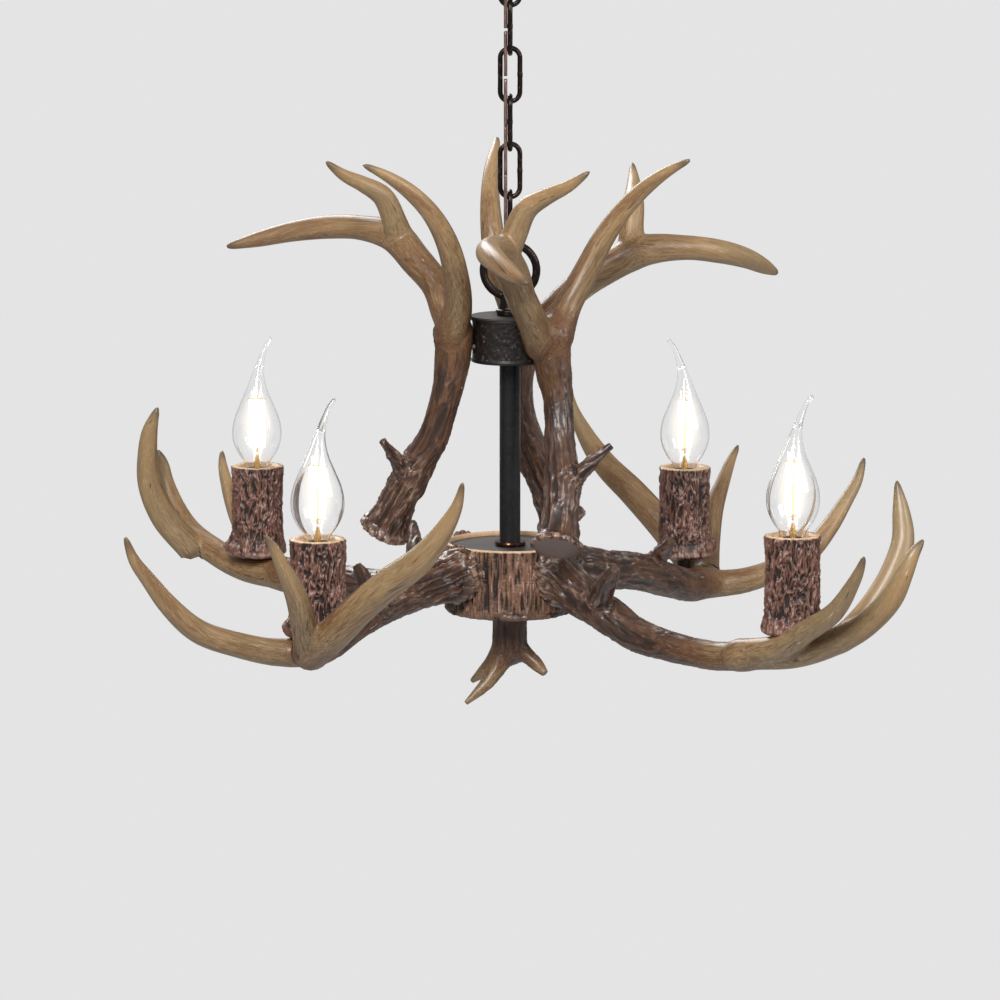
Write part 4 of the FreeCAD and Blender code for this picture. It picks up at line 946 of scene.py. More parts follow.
class BarkSettings(bpy.types.PropertyGroup):
    """Candle sleeves and hubs."""
    sleeve: paint("Sleeve", "Bark of the candle sleeves", srgb(112, 73, 58))
    hub: paint("Hub", "Bark of the lower hub", srgb(122, 86, 64))
    # Painted shade at the bottom of the grooves of sleeves and hub.
    groove: paint("Grooves", "Bottom of the grooves", srgb(26, 17, 16))
    # Dust specks, and a painted highlight with dry-brushed paint on the crests.
    dust_and_highlight: paint("Dust", "Dry-brushed ridges of the bark", srgb(204, 168, 156))
    rim: paint("Cut wood", "Sawn rims of sleeves and hub", srgb(214, 178, 140))
    depth: length("Groove depth", "Depth of the grooves in sleeves and hub", 0.0023)


class LampSettings(bpy.types.PropertyGroup):
    """Bulbs."""
    glow: bpy.props.FloatProperty(name="Glow", description="Strength of the lit filaments",
                                  default=7.0, min=0.0)
    warm: paint("Glow colour", "Colour of the lit filaments", (1.0, 0.90, 0.74))
    brass: paint("Bulb cap", "Metal of the caps and of the mount's wires", srgb(196, 160, 104))


class StageSettings(bpy.types.PropertyGroup):
    """Floor, backdrop and light."""
    backdrop: paint("Backdrop", "The plain pale wall behind the light", grey(228))
    floor: paint("Floor", "The plain pale floor", grey(236))
    key: bpy.props.FloatProperty(name="Key light", description="Power of the main lamp",
                                 default=84.0, min=0.0, unit="POWER")
    fill: bpy.props.FloatProperty(name="Fill light", description="Power of the other lamps",
                                  default=26.0, min=0.0, unit="POWER")
    room: bpy.props.FloatProperty(name="Room light", description="Strength of the even light",
                                  default=0.25, min=0.0)


SETTINGS = {"antlers": AntlerSettings, "metal": MetalSettings, "bark": BarkSettings,
            "lamps": LampSettings, "stage": StageSettings}


def chosen(context, group):
    """The values that the user has chosen for one group."""
    return getattr(context.scene, "chandelier_" + group)


# -------------------------------------------------------------------------------- pieces

class CHANDELIER_OT_stage(bpy.types.Operator):
    """Floor, even room light, soft lamps and the camera"""
    bl_idname = "chandelier.stage"
    bl_label = "Stage"

    FLOOR_HALF, FLOOR_LEVEL = 3.2, -2.7
    # Name, place, size, the setting that holds the power and how much of it is used.
    LAMPS = (("key", (-0.5, -2.3, 1.3), 1.1, "key", 1.0),
             ("fill", (2.1, -1.3, 0.6), 1.2, "fill", 1.0),
             ("rear", (-1.0, 2.3, 1.1), 1.4, "fill", 1.8))
    # Where the photograph was taken from, its tilt in degrees and its lens in millimetres.
    CAMERA_PLACE, CAMERA_TILT, LENS, SENSOR = (-0.0068, -3.2001, 0.0352), 81.0, 170.6, 36.0

    def execute(self, context):
        settings = chosen(context, "stage")
        scene = context.scene
        scene.view_settings.view_transform = "Standard"
        scene.world = self.room(settings)
        half, level = self.FLOOR_HALF, self.FLOOR_LEVEL
        corners = [(-half, -half, level), (half, -half, level), (half, half, level),
                   (-half, half, level)]
        floor = bpy.data.objects.new("floor", mesh_of("floor", corners, [(0, 1, 2, 3)],
                                                      self.floor_finish(settings)))
        scene.collection.objects.link(floor)
        for name, place, size, power, share in self.LAMPS:
            self.lamp(name, place, size, getattr(settings, power) * share)
        camera = bpy.data.objects.new("camera", bpy.data.cameras.new("camera"))
        scene.collection.objects.link(camera)
        camera.location = self.CAMERA_PLACE
        camera.rotation_euler = (math.radians(self.CAMERA_TILT), 0.0, 0.0)
        camera.data.sensor_width = self.SENSOR
        camera.data.lens = self.LENS
        scene.camera = camera
        return {"FINISHED"}

    def room(self, settings):
        """Pale where it is seen or seen through, and weaker where it lights the piece."""
        world = bpy.data.worlds.new("Room")
        world.use_nodes = True
        room = Nodes(world.node_tree)
        camera_ray, transmission_ray = (room.add("ShaderNodeLightPath", output=k)
                                        for k in (0, 6))
        even = room.add("ShaderNodeBackground", None,
                        {"Color": (1, 1, 1, 1), "Strength": settings.room})
        wall = room.add("ShaderNodeBackground", None,
                        {"Color": (*settings.backdrop, 1), "Strength": 1.0})
        both = room.add("ShaderNodeMixShader", None,
                        {0: camera_ray + transmission_ray, 1: even, 2: wall})
        room.add("ShaderNodeOutputWorld", None, {"Surface": both})
        return world

    def floor_finish(self, settings):
        """Matt and pale, with the faintest clouds."""
        f = Finish("pale_floor")
        cloud = f.pattern(f.place, 3.0, 2.0, 0.5)
        base = tuple(settings.floor)
        return f.finish(base=f.blend(base, toned(base, 0.96), cloud), roughness=0.9)

    def lamp(self, name, place, size, power):
        """A soft square lamp that faces the chandelier."""
        data = bpy.data.lights.new(name, "AREA")
        data.size = size
        data.energy = power
        lamp = bpy.data.objects.new(name, data)
        bpy.context.scene.collection.objects.link(lamp)
        lamp.location = place
        aim = Vector(CENTRE_OF_LIGHT) - Vector(place)
        lamp.rotation_euler = aim.to_track_quat("-Z", "Y").to_euler()


def hanging_loop(name, node, body, ring_height, seat, material):
    """A cast ring on its neck and collar, with soft joins and a little casting texture."""
    ring_radius, wire, neck_reach, collar_tall = 0.01795, 0.0028, 0.0158, 0.0042
    voxel, hammering, mark_size = 0.0006, 0.00012, 0.004
    side = 1 if ring_height > seat else -1
    neck_top = ring_height - side * neck_reach
    ring = [(ring_radius * math.cos(a), 0, ring_height + ring_radius * math.sin(a), wire)
            for a in np.linspace(0, 2 * math.pi, 97)]
    neck = [(0, 0, seat, 0.0088), (0, 0, seat + (neck_top - seat) * 0.5, 0.0076),
            (0, 0, neck_top, 0.0060)]
    collar = [(0, 0, seat, 0.0096), (0, 0, seat + side * collar_tall, 0.0098)]
    curve = path_curve(name, [ring, neck, collar])
    mesh = tube_builder().run(name, curve, {"Sides": 40, "Material": material},
                              [("REMESH", {"mode": "VOXEL", "voxel_size": voxel}),
                               ("SMOOTH", {"factor": 0.5, "iterations": 6})])
    soften(mesh, material, hammering, mark_size)
    return piece(name, mesh, body, (node,))


class CHANDELIER_OT_ceiling_fitting(bpy.types.Operator):
    """Bracket, canopy, nipple and the two hanging loops"""
    bl_idname = "chandelier.ceiling_fitting"
    bl_label = "Ceiling fitting"

    # Piece, node, body, height of the ring's centre and of the face that its collar is on.
    LOOPS = (("canopy_ring", "canopy_loop", "ceiling_fitting", -0.0533, -0.026),
             ("light_ring", "top_loop", "light", -0.3138, -0.3445))
    ZINC_PIECES = ("mounting_bracket", "bracket_nipple", "bracket_nut", "threaded_pipe",
                   "pipe_nuts", "upper_antler_screws", "root_nipples", "root_nuts")

    def execute(self, context):
        settings = chosen(context, "metal")
        bronze, rubbed = tuple(settings.bronze), tuple(settings.rubbed)
        repaint(("canopy", "sleeve_nipples"),
                metal_finish("canopy_bronze", bronze, rubbed, roughness=0.42, metallic=0.7,
                             wear=0.22, scale=160.0))
        repaint(self.ZINC_PIECES, plain_finish("zinc_plating", tuple(settings.zinc), 0.52, 0.8))
        repaint(("ground_screw",), plain_finish("green_screw", srgb(38, 104, 60), 0.4, 0.6))
        repaint(("terminal_block",), plain_finish("block_white", grey(222), 0.45))
        loop = metal_finish("loop_bronze", bronze, rubbed, roughness=0.34, metallic=0.8,
                            wear=0.25, scale=340.0)
        for numbers in self.LOOPS:
            hanging_loop(*numbers, loop)
        return {"FINISHED"}


class CHANDELIER_OT_chain(bpy.types.Operator):
    """Seven links of dark bronze wire"""
    bl_idname = "chandelier.chain"
    bl_label = "Chain"

    LINKS = 7
    HAMMERING, MARK_SIZE = 0.00010, 0.006

    def execute(self, context):
        settings = chosen(context, "metal")
        finish = metal_finish("chain_bronze", tuple(settings.bronze), tuple(settings.rubbed),
                              roughness=0.30, metallic=0.85, wear=0.62, scale=420.0)
        builder = link_builder()
        for number in range(1, self.LINKS + 1):
            node, body = "chain_link_%d" % number, "link_%d" % number
            low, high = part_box(node)
            mesh = builder.run(body, bpy.data.meshes.new(node),
                               {"Length": high[2] - low[2], "Width": settings.width,
                                "Wire": settings.wire, "Height": (high[2] + low[2]) / 2,
                                "Turn": math.radians(90.0 * (number % 2)),
                                "Material": finish})
            soften(mesh, finish, self.HAMMERING, self.MARK_SIZE, number)
            piece(body + "_wire", mesh, body, (node,))
        return {"FINISHED"}


class CHANDELIER_OT_supply_cord(bpy.types.Operator):
    """The twin cord beside the chain, cut into one length round each chain joint"""
    bl_idname = "chandelier.supply_cord"
    bl_label = "Supply cord"

    # The cord's route from the ceiling to the terminal block, in millimetres, and how far its
    # two strands lie from it at each point.
    ROUTE = [(0, 0, 0), (0, 0, -43.1), (-3.05, -5.55, -63.1), (-3.05, -5.55, -79.3),
             (-3.05, -4.35, -103.3), (-3.05, -4.35, -261.8), (-3.05, -5.55, -287.8),
             (-3.05, -5.55, -304.0), (0, 0, -324.0), (0, 0, -423.8), (0, 0, -509),
             (0, -8, -523), (0, -24, -522), (0, -29, -535)]
    SPREAD = [(0, 1.25)] * 9 + [(1.0, 1.0)] + [(1.25, 0)] * 4
    STRAND_RADIUS, SIDES, POINT_GAP = 0.0012, 16, 0.002
    # How far two lengths lap, how far from a joint the bend reaches, and the outer ends.
    LAP, BEND_REACH, TOP_END, FOOT_END = 0.0006, 0.009, 0.01, -1.0

    def execute(self, context):
        finish = self.cord_finish()
        repaint(("branch_wires",), finish)
        joints = [j for j in frame["joints"] if j["type"] == "hinge"]
        heights = [j["pos_m"][2] for j in joints]
        ends = [self.TOP_END, *((a + b) / 2 for a, b in zip(heights, heights[1:])),
                self.FOOT_END]
        strands = [self.strand(side) for side in (-1, 1)]
        for k, (joint, height) in enumerate(zip(joints, heights)):
            points, faces = [], []
            for line in strands:
                inside = ((line[:, 2] <= ends[k] + self.LAP)
                          & (line[:, 2] >= ends[k + 1] - self.LAP))
                radius = np.full(inside.sum(), self.STRAND_RADIUS)
                self.capped_tube(np.column_stack([line[inside], radius]), points, faces)
            mesh = mesh_of("cord_%d" % (k + 1), points, faces, finish)
            part = piece("supply_cord_" + joint["child"], mesh, None,
                         ("supply_cord",))
            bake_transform(part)
        return {"FINISHED"}

    def strand(self, side):
        """Points along the smooth line of one strand, evenly spaced."""
        curve = bpy.data.curves.new("strand", "CURVE")
        curve.dimensions = "3D"
        curve.resolution_u = 24
        spline = curve.splines.new("NURBS")
        spline.points.add(len(self.ROUTE) - 1)
        for point, place, spread in zip(spline.points, self.ROUTE, self.SPREAD):
            x, y, z = place
            point.co = ((x + side * spread[0]) * MM, (y + side * spread[1]) * MM, z * MM, 1)
        spline.order_u = 3
        spline.use_endpoint_u = True
        holder = bpy.data.objects.new("strand", curve)
        line = points_of(bpy.data.meshes.new_from_object(holder))
        bpy.data.objects.remove(holder)
        gap = np.linalg.norm(np.diff(line, axis=0), axis=1)
        line = line[np.concatenate([[True], gap > 1e-7])]
        rows = np.column_stack([line, np.zeros(len(line))])
        return smooth_line(rows, self.POINT_GAP)[:, :3]

    def capped_tube(self, rows, points, faces):
        """Adds a closed round tube to the lists."""
        start, last = len(points), len(points) + (len(rows) - 1) * self.SIDES
        points.extend(swept_rings(rows, self.SIDES))
        faces.extend(grid_faces(len(rows), self.SIDES, start=start))
        faces.append(tuple(start + j for j in reversed(range(self.SIDES))))
        faces.append(tuple(last + j for j in range(self.SIDES)))

    def cord_finish(self):
        """A glossy brown jacket, mottled along the cord."""
        f = Finish("cord_jacket")
        along = f.stretched(f.place, (1.0, 1.0, 0.2))
        strands = f.pattern(along, 900.0, 2.0, 0.5)
        colour = f.blend(srgb(122, 96, 84), srgb(84, 60, 52), f.between(strands, 0.35, 0.65))
        return f.finish(base=colour, roughness=0.25 + strands * 0.1, coat=0.4,
                        coat_roughness=0.15, specular=0.6,
                        normal=f.bump(strands, 0.2, 0.0002))


class CHANDELIER_OT_hubs(bpy.types.Operator):
    """Both hubs, their plates, the stem and its washer"""
    bl_idname = "chandelier.hubs"
    bl_label = "Stem and hubs"

    UPPER_SIDES, UPPER_FINE = 220, 0.0008
    LOWER_SIDES, LOWER_FINE = 420, 0.0006

    def execute(self, context):
        settings = chosen(context, "metal")
        self.upper_hub()
        self.lower_hub(chosen(context, "bark"))
        stem = metal_finish("stem_black", tuple(settings.stem), grey(92), 0.38, 0.25, 0.12, 300.0)
        repaint(("stem_tube",), stem)
        washer = metal_finish("washer_bronze", srgb(66, 48, 40), srgb(190, 118, 84), 0.3, 0.9,
                              0.6, 300.0)
        repaint(("stem_washer",), washer)
        repaint(("lower_hub_plate",), self.plate_finish("plate_grey", tuple(settings.plate)))
        repaint(("upper_hub_plate",), self.plate_finish("plate_dark", srgb(78, 74, 72)))
        return {"FINISHED"}

    def plate_finish(self, name, base):
        """A turned plate with faint lines, smudges and pale flecks."""
        f = Finish(name)
        turned_lines = f.pattern(f.stretched(f.place, (1.0, 0.15, 1.0)), 900.0, 3.0, 0.6)
        smudge = f.pattern(f.place, 45.0, 3.0, 0.6)
        fleck = f.between(f.pattern(f.place, 700.0, 2.0, 0.6), 0.66, 0.74)
        colour = f.blend(base, toned(base, 0.62), f.between(smudge, 0.4, 0.7) * 0.8)
        colour = f.blend(colour, toned(base, 2.2), fleck * 0.6)
        return f.finish(base=colour, roughness=0.36 + smudge * 0.15, metallic=0.35,
                        normal=f.bump(turned_lines, 0.08, 0.0002))

    def upper_hub(self):
        """A short drum of pitted dark metal with a lip at each end."""
        radius, low, high = UPPER_HUB_RADIUS, UPPER_HUB_FOOT, UPPER_HUB_TOP
        waist, bore, floor = radius - 0.0009, 0.0240, low + 0.0025
        outline = [(radius - 0.0008, low, 0), (radius, low + 0.0006, 0),
                   (radius, low + 0.0022, 0), (waist, low + 0.0028, 1),
                   (waist, high - 0.0024, 1), (radius, high - 0.0018, 0), (radius, high, 0),
                   (bore, high, 0), (bore, floor, 0), (PIPE_HOLE, floor, 0),
                   (PIPE_HOLE, low, 0)]
        rows = dense_outline(outline, self.UPPER_FINE)
        rough = np.repeat(rows[:, 2], self.UPPER_SIDES)
        pit, pinhole, pit_rise, lowest, highest = 0.0032, 0.0014, 0.00035, -0.0007, 0.0006

        def wall(angle, radius, height):
            spot = on_wall(angle, radius, height)
            pits = layered(spot / pit, 3, 21) + 0.7 * noise(spot / pinhole, 25)
            relief = np.clip(0.5 + 0.4 * pits, 0, 1) * rough
            return np.clip(pits * pit_rise, lowest, highest), {"relief": relief}

        mesh = turned("upper_drum", rows, self.UPPER_SIDES, wall, self.pitted_finish())
        piece("upper_drum", mesh, "light", ("upper_hub",))

    def pitted_finish(self):
        """Dark iron, dusty on its high spots."""
        f = Finish("pitted_iron")
        cloud = f.pattern(f.place, 90.0, 3.0, 0.6)
        speck = f.between(f.pattern(f.place, 620.0, 3.0, 0.65), 0.56, 0.68)
        crest = f.between(f.attribute("relief"), 0.3, 0.8)
        base = f.blend(srgb(36, 29, 27), srgb(22, 18, 17), f.between(cloud, 0.4, 0.65))
        colour = f.blend(base, srgb(150, 132, 122), speck * crest * 0.7)
        grain = f.pattern(f.place, 900.0, 3.0, 0.6)
        return f.finish(base=colour, roughness=0.42 + cloud * 0.15, metallic=0.2, coat=0.25,
                        coat_roughness=0.3, normal=f.bump(grain, 0.5, 0.0004))

    def lower_hub(self, settings):
        """The drum of oak bark: fine upright grooves, a ragged foot and a sawn pale rim."""
        radius, low, high = HUB_RADIUS, HUB_FOOT, HUB_RIM
        recess, bore, floor = 0.0420, 0.0405, low + 0.005
        outline = [(0.0425, low, 1), (0.0440, low + 0.0022, 1), (radius, low + 0.006, 1),
                   (radius, high - 0.0016, 1), (radius - 0.0007, high, 1), (recess, high, 0),
                   (recess, high - 0.005, 0), (bore, high - 0.005, 0), (bore, floor, 0),
                   (PIPE_HOLE, floor, 0), (PIPE_HOLE, low, 0)]
        groove_size, plate_size, crossing_size, bead_size = 0.0017, 0.0062, 0.0016, 0.004
        bead_rise, bead_sink = 0.0022, 0.001

        def wall(angle, radius, height):
            spot = on_wall(angle, radius, height * 0.10)
            round_and_up = on_wall(angle, np.full(len(angle), 3.0), height * 60)
            spot[:, :2] *= (1 + 0.012 * noise(round_and_up, 31))[:, None]
            groove = cracks(spot / groove_size, 32, 2.4)
            wide = cracks(spot / plate_size, 33, 2.2)
            across = noise(np.stack([angle * 24, height / crossing_size, angle * 0], 1), 34)
            plates = np.clip(0.55 * groove + 0.45 * wide, 0, 1) - 0.32 * np.clip(across, 0, 1)
            foot = step_between(low + 0.008, low + 0.001, height)
            ragged = pearls(np.stack([angle * 9, height / bead_size, angle * 0], 1), 35)
            edge = step_between(high - 0.0005, high - 0.003, height)
            rise = settings.depth * (plates - 0.75) * (1 - foot)
            rise = rise + foot * (bead_rise * ragged - bead_sink)
            kept = {"relief": np.clip(plates * (1 - foot) + ragged * foot * 0.7, 0, 1),
                    "rim": (height > high - 0.0012).astype(float)}
            return rise * (0.35 + 0.65 * edge), kept

        mesh = turned("lower_drum", dense_outline(outline, self.LOWER_FINE), self.LOWER_SIDES,
                      wall, bark_finish("hub_bark", tuple(settings.hub), settings, wear=0.6))
        piece("lower_drum", mesh, "light", ("lower_hub",))


class CHANDELIER_OT_upper_antlers(bpy.types.Operator):
    """Three castings that stand round the upper hub"""
    bl_idname = "chandelier.upper_antlers"
    bl_label = "Upper antlers"

    def execute(self, context):
        settings = chosen(context, "antlers")
        finish = antler_finish("antler_paint", settings)
        hub = drum_cut(UPPER_HUB_RADIUS - 0.0001, UPPER_HUB_FOOT - 0.0005,
                       UPPER_HUB_TOP + 0.0022)
        for k, (name, turn, lean, shift) in enumerate(UPPER_ANTLERS):
            place = leaning(UPPER_PIVOT, lean, shift, turn)
            first, second = (place @ (Vector(UPPER_TINES[0][0][i][:3]) * MM) for i in (0, 1))
            sawn = plane_cut(first, (first - second).normalized())

            def burr(points, sawn=sawn):
                """A collar of beads round the sawn end."""
                return step_between(0.0075, 0.0035, -sawn(points)[0])

            mesh = cast("antler_" + name, UPPER_TINES, place, settings, finish, (sawn, hub),
                        10 * k, burr)
            piece("upper_antler_%s_cast" % name, mesh, "light",
                  ("upper_antler_" + name,))
        return {"FINISHED"}


class CHANDELIER_OT_lower_antlers(bpy.types.Operator):
    """Four castings that spread from the lower hub and carry the candles"""
    bl_idname = "chandelier.lower_antlers"
    bl_label = "Lower antlers"

    def execute(self, context):
        settings = chosen(context, "antlers")
        finish = bpy.data.materials["antler_paint"]
        hub = drum_cut(HUB_RADIUS - 0.0007, HUB_FOOT - 0.02, HUB_RIM + 0.02)

        def burr(points):
            """A collar of beads round the hub."""
            out = np.hypot(points[:, 0], points[:, 1]) - HUB_RADIUS
            return step_between(0.0105, 0.0045, out)

        for k, (name, tines, pivot, turn, lean, shift) in enumerate(LOWER_ANTLERS):
            place = leaning(pivot, lean, shift, turn)
            mesh = cast("antler_" + name, tines, place, settings, finish, (hub,), 30 + 10 * k,
                        burr)
            piece("lower_antler_%s_cast" % name, mesh, "light",
                  ("lower_antler_" + name,))
        return {"FINISHED"}


class CHANDELIER_OT_finial(bpy.types.Operator):
    """The small antler under the lower hub"""
    bl_idname = "chandelier.finial"
    bl_label = "Finial"

    def execute(self, context):
        place = Matrix.Translation((0, 0, HUB_RIM))
        top = plane_cut((0, 0, HUB_FOOT), (0, 0, 1))
        mesh = cast("finial", FINIAL_TINES, place, chosen(context, "antlers"),
                    bpy.data.materials["antler_paint"], (top,), 90, gnarl=0.8)
        piece("finial_cast", mesh, "light", ("finial",))
        return {"FINISHED"}


class CHANDELIER_OT_sleeves(bpy.types.Operator):
    """Four bark candle sleeves and the sockets inside them"""
    bl_idname = "chandelier.sleeves"
    bl_label = "Candle sleeves"

    TALL, BORE, FLOOR, NIPPLE_HOLE = 0.065, 0.0122, 0.008, 0.0050
    SIDES, FINE = 260, 0.0006
    # The knob on the foot: how far it stands out, its height, half its height and half its
    # width in radians.
    KNOB_OUT, KNOB_HEIGHT, KNOB_TALL, KNOB_WIDE = 0.0062, 0.0085, 0.0058, 0.30

    def execute(self, context):
        settings = chosen(context, "bark")
        finish = bark_finish("sleeve_bark", tuple(settings.sleeve), settings, wear=0.55)
        for k, (name, (top, knob, _)) in enumerate(SLEEVES.items()):
            mesh = self.sleeve(name, Vector(top) * MM, math.radians(knob), settings, finish, k)
            piece("bark_sleeve_" + name, mesh, "light",
                  ("candle_sleeve_" + name,))
        socket = plain_finish("socket_ivory", srgb(206, 186, 150), 0.45)
        repaint(["lamp_socket_" + name for name in SLEEVES], socket)
        return {"FINISHED"}

    def sleeve(self, name, top, knob, settings, finish, seed):
        """A tube of bark with a beaded foot, a knob on one side and a sawn rim."""
        tall = self.TALL
        outline = [(0.0170, 0, 1), (0.0192, 0.0022, 1), (0.0196, 0.006, 1), (0.0184, 0.013, 1),
                   (0.0177, 0.030, 1), (0.0179, 0.050, 1), (0.0184, tall - 0.0014, 1),
                   (0.0180, tall, 1), (self.BORE, tall, 0), (self.BORE, self.FLOOR, 0),
                   (self.NIPPLE_HOLE, self.FLOOR, 0), (self.NIPPLE_HOLE, 0, 0)]
        bend, bend_reach, groove_size, crack_size = 0.006, 0.0017, 0.0034, 0.0015
        lump_size, lump_rise, bead_size, bead_rise = 0.010, 0.0007, 0.0052, 0.0020

        def wall(angle, radius, height):
            spot = on_wall(angle, radius, height * 0.34)
            spot = spot + wandering(spot, bend, 50 + 10 * seed, bend_reach)
            across, up = spot[:, :2], height[:, None]
            groove = cracks(spot / groove_size, 61 + seed, 2.6)
            fine = cracks(spot / crack_size, 71 + seed, 2.6)
            lumps = layered(np.hstack([across, up * 0.6]) / lump_size, 2, 81 + seed)
            plates = np.clip(0.52 * groove + 0.48 * fine, 0, 1)
            foot = step_between(0.012, 0.002, height)
            beads = pearls(np.hstack([across, up]) / bead_size, 85 + seed)
            swing = np.angle(np.exp(1j * (angle - knob)))
            bulge = self.KNOB_OUT * np.exp(-(swing / self.KNOB_WIDE) ** 2
                                           - ((height - self.KNOB_HEIGHT) / self.KNOB_TALL) ** 2)
            rise = settings.depth * (plates - 0.66) * (1 - foot)
            rise = rise + foot * bead_rise * (beads - 0.3)
            rise = rise + lump_rise * lumps + bulge
            kept = {"relief": np.clip(plates * (1 - foot) + beads * foot, 0, 1),
                    "rim": (height > tall - 0.0006).astype(float)}
            return rise * step_between(-0.004, 0.002, height), kept

        return turned("bark_sleeve_" + name, dense_outline(outline, self.FINE), self.SIDES,
                      wall, finish, (top.x, top.y, top.z + HUB_RIM - tall))


class CHANDELIER_OT_bulbs(bpy.types.Operator):
    """Four flame-tip bulbs: cap, glass with its bent tail, mount and lit filaments"""
    bl_idname = "chandelier.bulbs"
    bl_label = "Bulbs"

    # The glass from its foot to the tip of its tail: x, y, z and radius in millimetres. It is
    # hollow up to the last point but three.
    FLAME = [(0, 0, 0, 6.9), (0, 0, 4, 8.8), (0, 0, 11, 13.4), (0, 0, 19, 16.8),
             (0, 0, 27, 17.5), (0, 0, 36, 15.9), (0, 0, 46, 12.0), (0.2, 0, 56, 7.8),
             (1.0, 0, 65, 4.9), (2.6, 0, 73, 3.1), (5.2, 0, 81, 2.0), (8.2, 0, 88, 1.5),
             (12.0, 0, 93, 1.3)]
    HOLLOW = FLAME[:-3]
    GLASS_WALL, GLASS_SIDES, GLASS_GAP, TIP_OUT, CROWN_UP = 0.0007, 56, 0.0008, 0.0009, 0.0012
    # Rows of x, y, z and radius in metres: glass stem, rod, and the wires at foot and head.
    MOUNT = [[(0, 0, -0.0185, 0.0028), (0, 0, 0.003, 0.0024), (0, 0, 0.010, 0.0008)],
             [(0, 0, 0.012, 0.0006), (0, 0, 0.053, 0.0006)],
             [(0.0046, 0.0046, 0.0150, 0.0004), (-0.0046, -0.0046, 0.0150, 0.0004)],
             [(0.0046, -0.0046, 0.0500, 0.0004), (-0.0046, 0.0046, 0.0500, 0.0004)]]
    FILAMENTS, FILAMENT_RING, FILAMENT_RADIUS = 4, 0.0046, 0.0011
    FILAMENT_HEIGHTS = (0.0155, 0.0245, 0.0395, 0.0495)
    # Eggs of glow round the filaments: half width, half height and how dense each is.
    HALO = ((0.0056, 0.0172, 0.11), (0.0078, 0.0198, 0.065), (0.0099, 0.0218, 0.045),
            (0.0119, 0.0236, 0.03))
    HALO_HEIGHT, HALO_SIDES, HALO_ROWS, HALO_POLE, HALO_SHARE = 0.0325, 32, 15, 0.06, 0.3
    # How deep the glass stands in its sleeve.
    SEAT_DEPTH = 0.002

    def execute(self, context):
        settings = chosen(context, "lamps")
        brass = plain_finish("cap_brass", tuple(settings.brass), 0.28, 1.0, 700.0)
        repaint(["bulb_cap_" + name for name in SLEEVES], brass)
        glass, lit = self.glass_finish(), self.lit_finish(settings)
        halos = [self.halo_finish(settings, k, density)
                 for k, (_, _, density) in enumerate(self.HALO)]
        strips = [[(self.FILAMENT_RING * math.cos(a), self.FILAMENT_RING * math.sin(a), z,
                    self.FILAMENT_RADIUS) for z in self.FILAMENT_HEIGHTS]
                  for a in (math.radians(45 + 90 * k) for k in range(self.FILAMENTS))]
        for name, (top, _, tail) in SLEEVES.items():
            seat = Vector(top) * MM + Vector((0, 0, HUB_RIM - self.SEAT_DEPTH))
            place = Matrix.Translation(seat) @ Matrix.Rotation(math.radians(tail), 4, "Z")
            body = "bulb_" + name
            piece("flame_glass_" + name, self.glass(name, place, glass), body,
                  ("bulb_glass_" + name,))
            piece("filament_" + name, self.bars("filament_" + name, strips, place, lit), body,
                  ("bulb_filament_" + name,))
            piece("bulb_mount_" + name, self.bars("bulb_mount_" + name, self.MOUNT, place, brass),
                  body)
            for k, (wide, tall, _) in enumerate(self.HALO):
                piece("halo_%d_%s" % (k, name), self.halo(name, wide, tall, place, halos[k]),
                      body)
        return {"FINISHED"}

    def bars(self, name, lines, place, material):
        """Round bars along straight lines, set where the bulb stands."""
        mesh = tube_builder().run(name, path_curve(name, lines),
                                  {"Sides": 12, "Material": material})
        mesh.transform(place)
        return mesh

    def capping(self, ring, sides, point, faces, flip=False):
        """Closes a ring of points with triangles that meet in one point."""
        for j in range(sides):
            here, after = ring + j, ring + (j + 1) % sides
            faces.append((after, here, point) if flip else (here, after, point))

    def halo(self, name, wide, tall, place, material):
        """A closed egg round the lit filaments."""
        turn = np.linspace(self.HALO_POLE, math.pi - self.HALO_POLE, self.HALO_ROWS)
        rows = [(0, 0, self.HALO_HEIGHT - tall * math.cos(a), wide * math.sin(a)) for a in turn]
        sides = self.HALO_SIDES
        points = list(swept_rings(rows, sides))
        faces = grid_faces(len(rows), sides)
        foot, crown = len(points), len(points) + 1
        points += [np.array((0, 0, self.HALO_HEIGHT + end * tall)) for end in (-1, 1)]
        self.capping(0, sides, foot, faces, flip=True)
        self.capping((len(rows) - 1) * sides, sides, crown, faces)
        mesh = mesh_of("halo_" + name, points, faces, material)
        mesh.transform(place)
        return mesh

    def glass(self, name, place, material):
        """The thin envelope, open at its foot, whose tip draws out into a solid tail."""
        sides = self.GLASS_SIDES
        rows = smooth_line(np.array(self.FLAME) * MM, self.GLASS_GAP)
        hollow = smooth_line(np.array(self.HOLLOW) * MM, self.GLASS_GAP)
        hollow[:, 3] -= self.GLASS_WALL
        points = list(swept_rings(rows, sides)) + list(swept_rings(hollow, sides))
        faces = grid_faces(len(rows), sides)
        start = len(rows) * sides
        faces += [tuple(reversed(f)) for f in grid_faces(len(hollow), sides, start=start)]
        for j in range(sides):
            k = (j + 1) % sides
            faces.append((j, start + j, start + k, k))
        tip, crown = len(points), len(points) + 1
        ahead = rows[-1, :3] - rows[-2, :3]
        points.append(rows[-1, :3] + ahead / np.linalg.norm(ahead) * self.TIP_OUT)
        points.append(hollow[-1, :3] + np.array((0, 0, self.CROWN_UP)))
        self.capping(start - sides, sides, tip, faces)
        self.capping(tip - sides, sides, crown, faces, flip=True)
        mesh = mesh_of("glass_" + name, points, faces, material)
        mesh.transform(place)
        return mesh

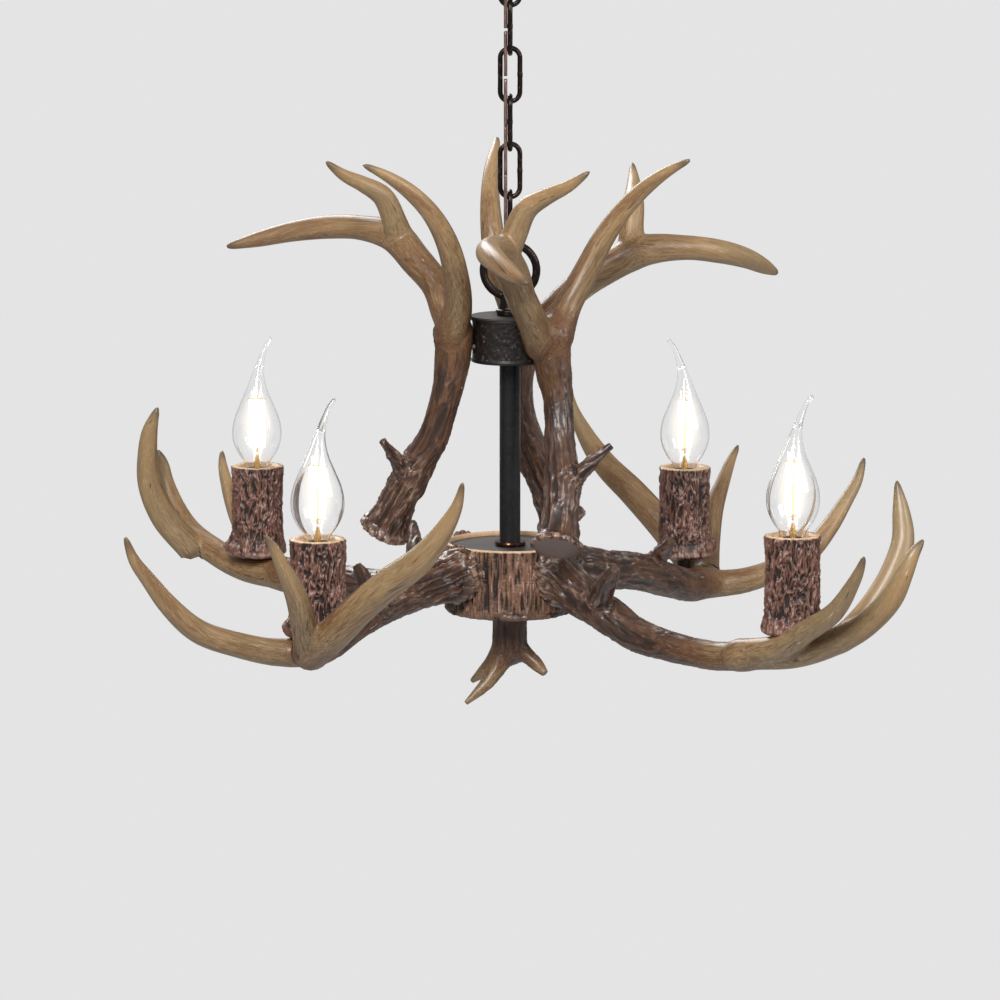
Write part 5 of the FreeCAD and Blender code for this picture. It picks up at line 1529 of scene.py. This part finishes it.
    def glass_finish(self):
        """Clear glass with a slow ripple."""
        f = Finish("bulb_glass")
        ripple = f.pattern(f.place, 60.0, 1.0, 0.4)
        return f.finish(base=(1.0, 1.0, 1.0), roughness=0.0, transmission=1.0, ior=1.46,
                        normal=f.bump(ripple, 0.05, 0.0004))

    def halo_finish(self, settings, k, density):
        """Faint light that lets most of what is behind it through."""
        f = Finish("glow_halo_%d" % k)
        warm = tuple(settings.warm)
        glow = f.blend(warm, toned(warm, 0.97), f.pattern(f.place, 80.0, 1.0, 0.5))
        return f.finish(base=(0.0, 0.0, 0.0), roughness=1.0, specular=0.0, glow=glow,
                        glow_strength=settings.glow * self.HALO_SHARE, alpha=density)

    def lit_finish(self, settings):
        """The warm glow of a lit filament."""
        f = Finish("filament_glow")
        warm = tuple(settings.warm)
        glow = f.blend(warm, toned(warm, 0.85), f.pattern(f.place, 900.0, 1.0, 0.5))
        return f.finish(base=warm, roughness=0.5, glow=glow, glow_strength=settings.glow)


# ---------------------------------------------------------------------------- the add-on

OPERATORS = (CHANDELIER_OT_stage, CHANDELIER_OT_ceiling_fitting, CHANDELIER_OT_chain,
             CHANDELIER_OT_supply_cord, CHANDELIER_OT_hubs, CHANDELIER_OT_upper_antlers,
             CHANDELIER_OT_lower_antlers, CHANDELIER_OT_finial, CHANDELIER_OT_sleeves,
             CHANDELIER_OT_bulbs)


class CHANDELIER_PT_pieces(bpy.types.Panel):
    """Sizes and colours, and a button for each group of pieces"""
    bl_label = "Antler chandelier"
    bl_idname = "CHANDELIER_PT_pieces"
    bl_space_type = "VIEW_3D"
    bl_region_type = "UI"
    bl_category = "Chandelier"

    def draw(self, context):
        for group, kind in SETTINGS.items():
            column = self.layout.column(heading=group.capitalize())
            for name in kind.__annotations__:
                column.prop(chosen(context, group), name)
        for operator in OPERATORS:
            self.layout.operator(operator.bl_idname)


def register():
    """Adds the settings, the operators and the panel."""
    for kind in (*SETTINGS.values(), *OPERATORS, CHANDELIER_PT_pieces):
        bpy.utils.register_class(kind)
    for group, kind in SETTINGS.items():
        setattr(bpy.types.Scene, "chandelier_" + group, bpy.props.PointerProperty(type=kind))


def unregister():
    """Takes all of them away again."""
    for group in SETTINGS:
        delattr(bpy.types.Scene, "chandelier_" + group)
    for kind in (CHANDELIER_PT_pieces, *OPERATORS, *SETTINGS.values()):
        bpy.utils.unregister_class(kind)


def main():
    """Makes the stage and every piece."""
    register()
    for operator in OPERATORS:
        call = getattr(bpy.ops.chandelier, operator.bl_idname.split(".")[1])
        if call() != {"FINISHED"}:
            raise RuntimeError(operator.bl_label + " was not finished")


if __name__ == "__main__":
    main()
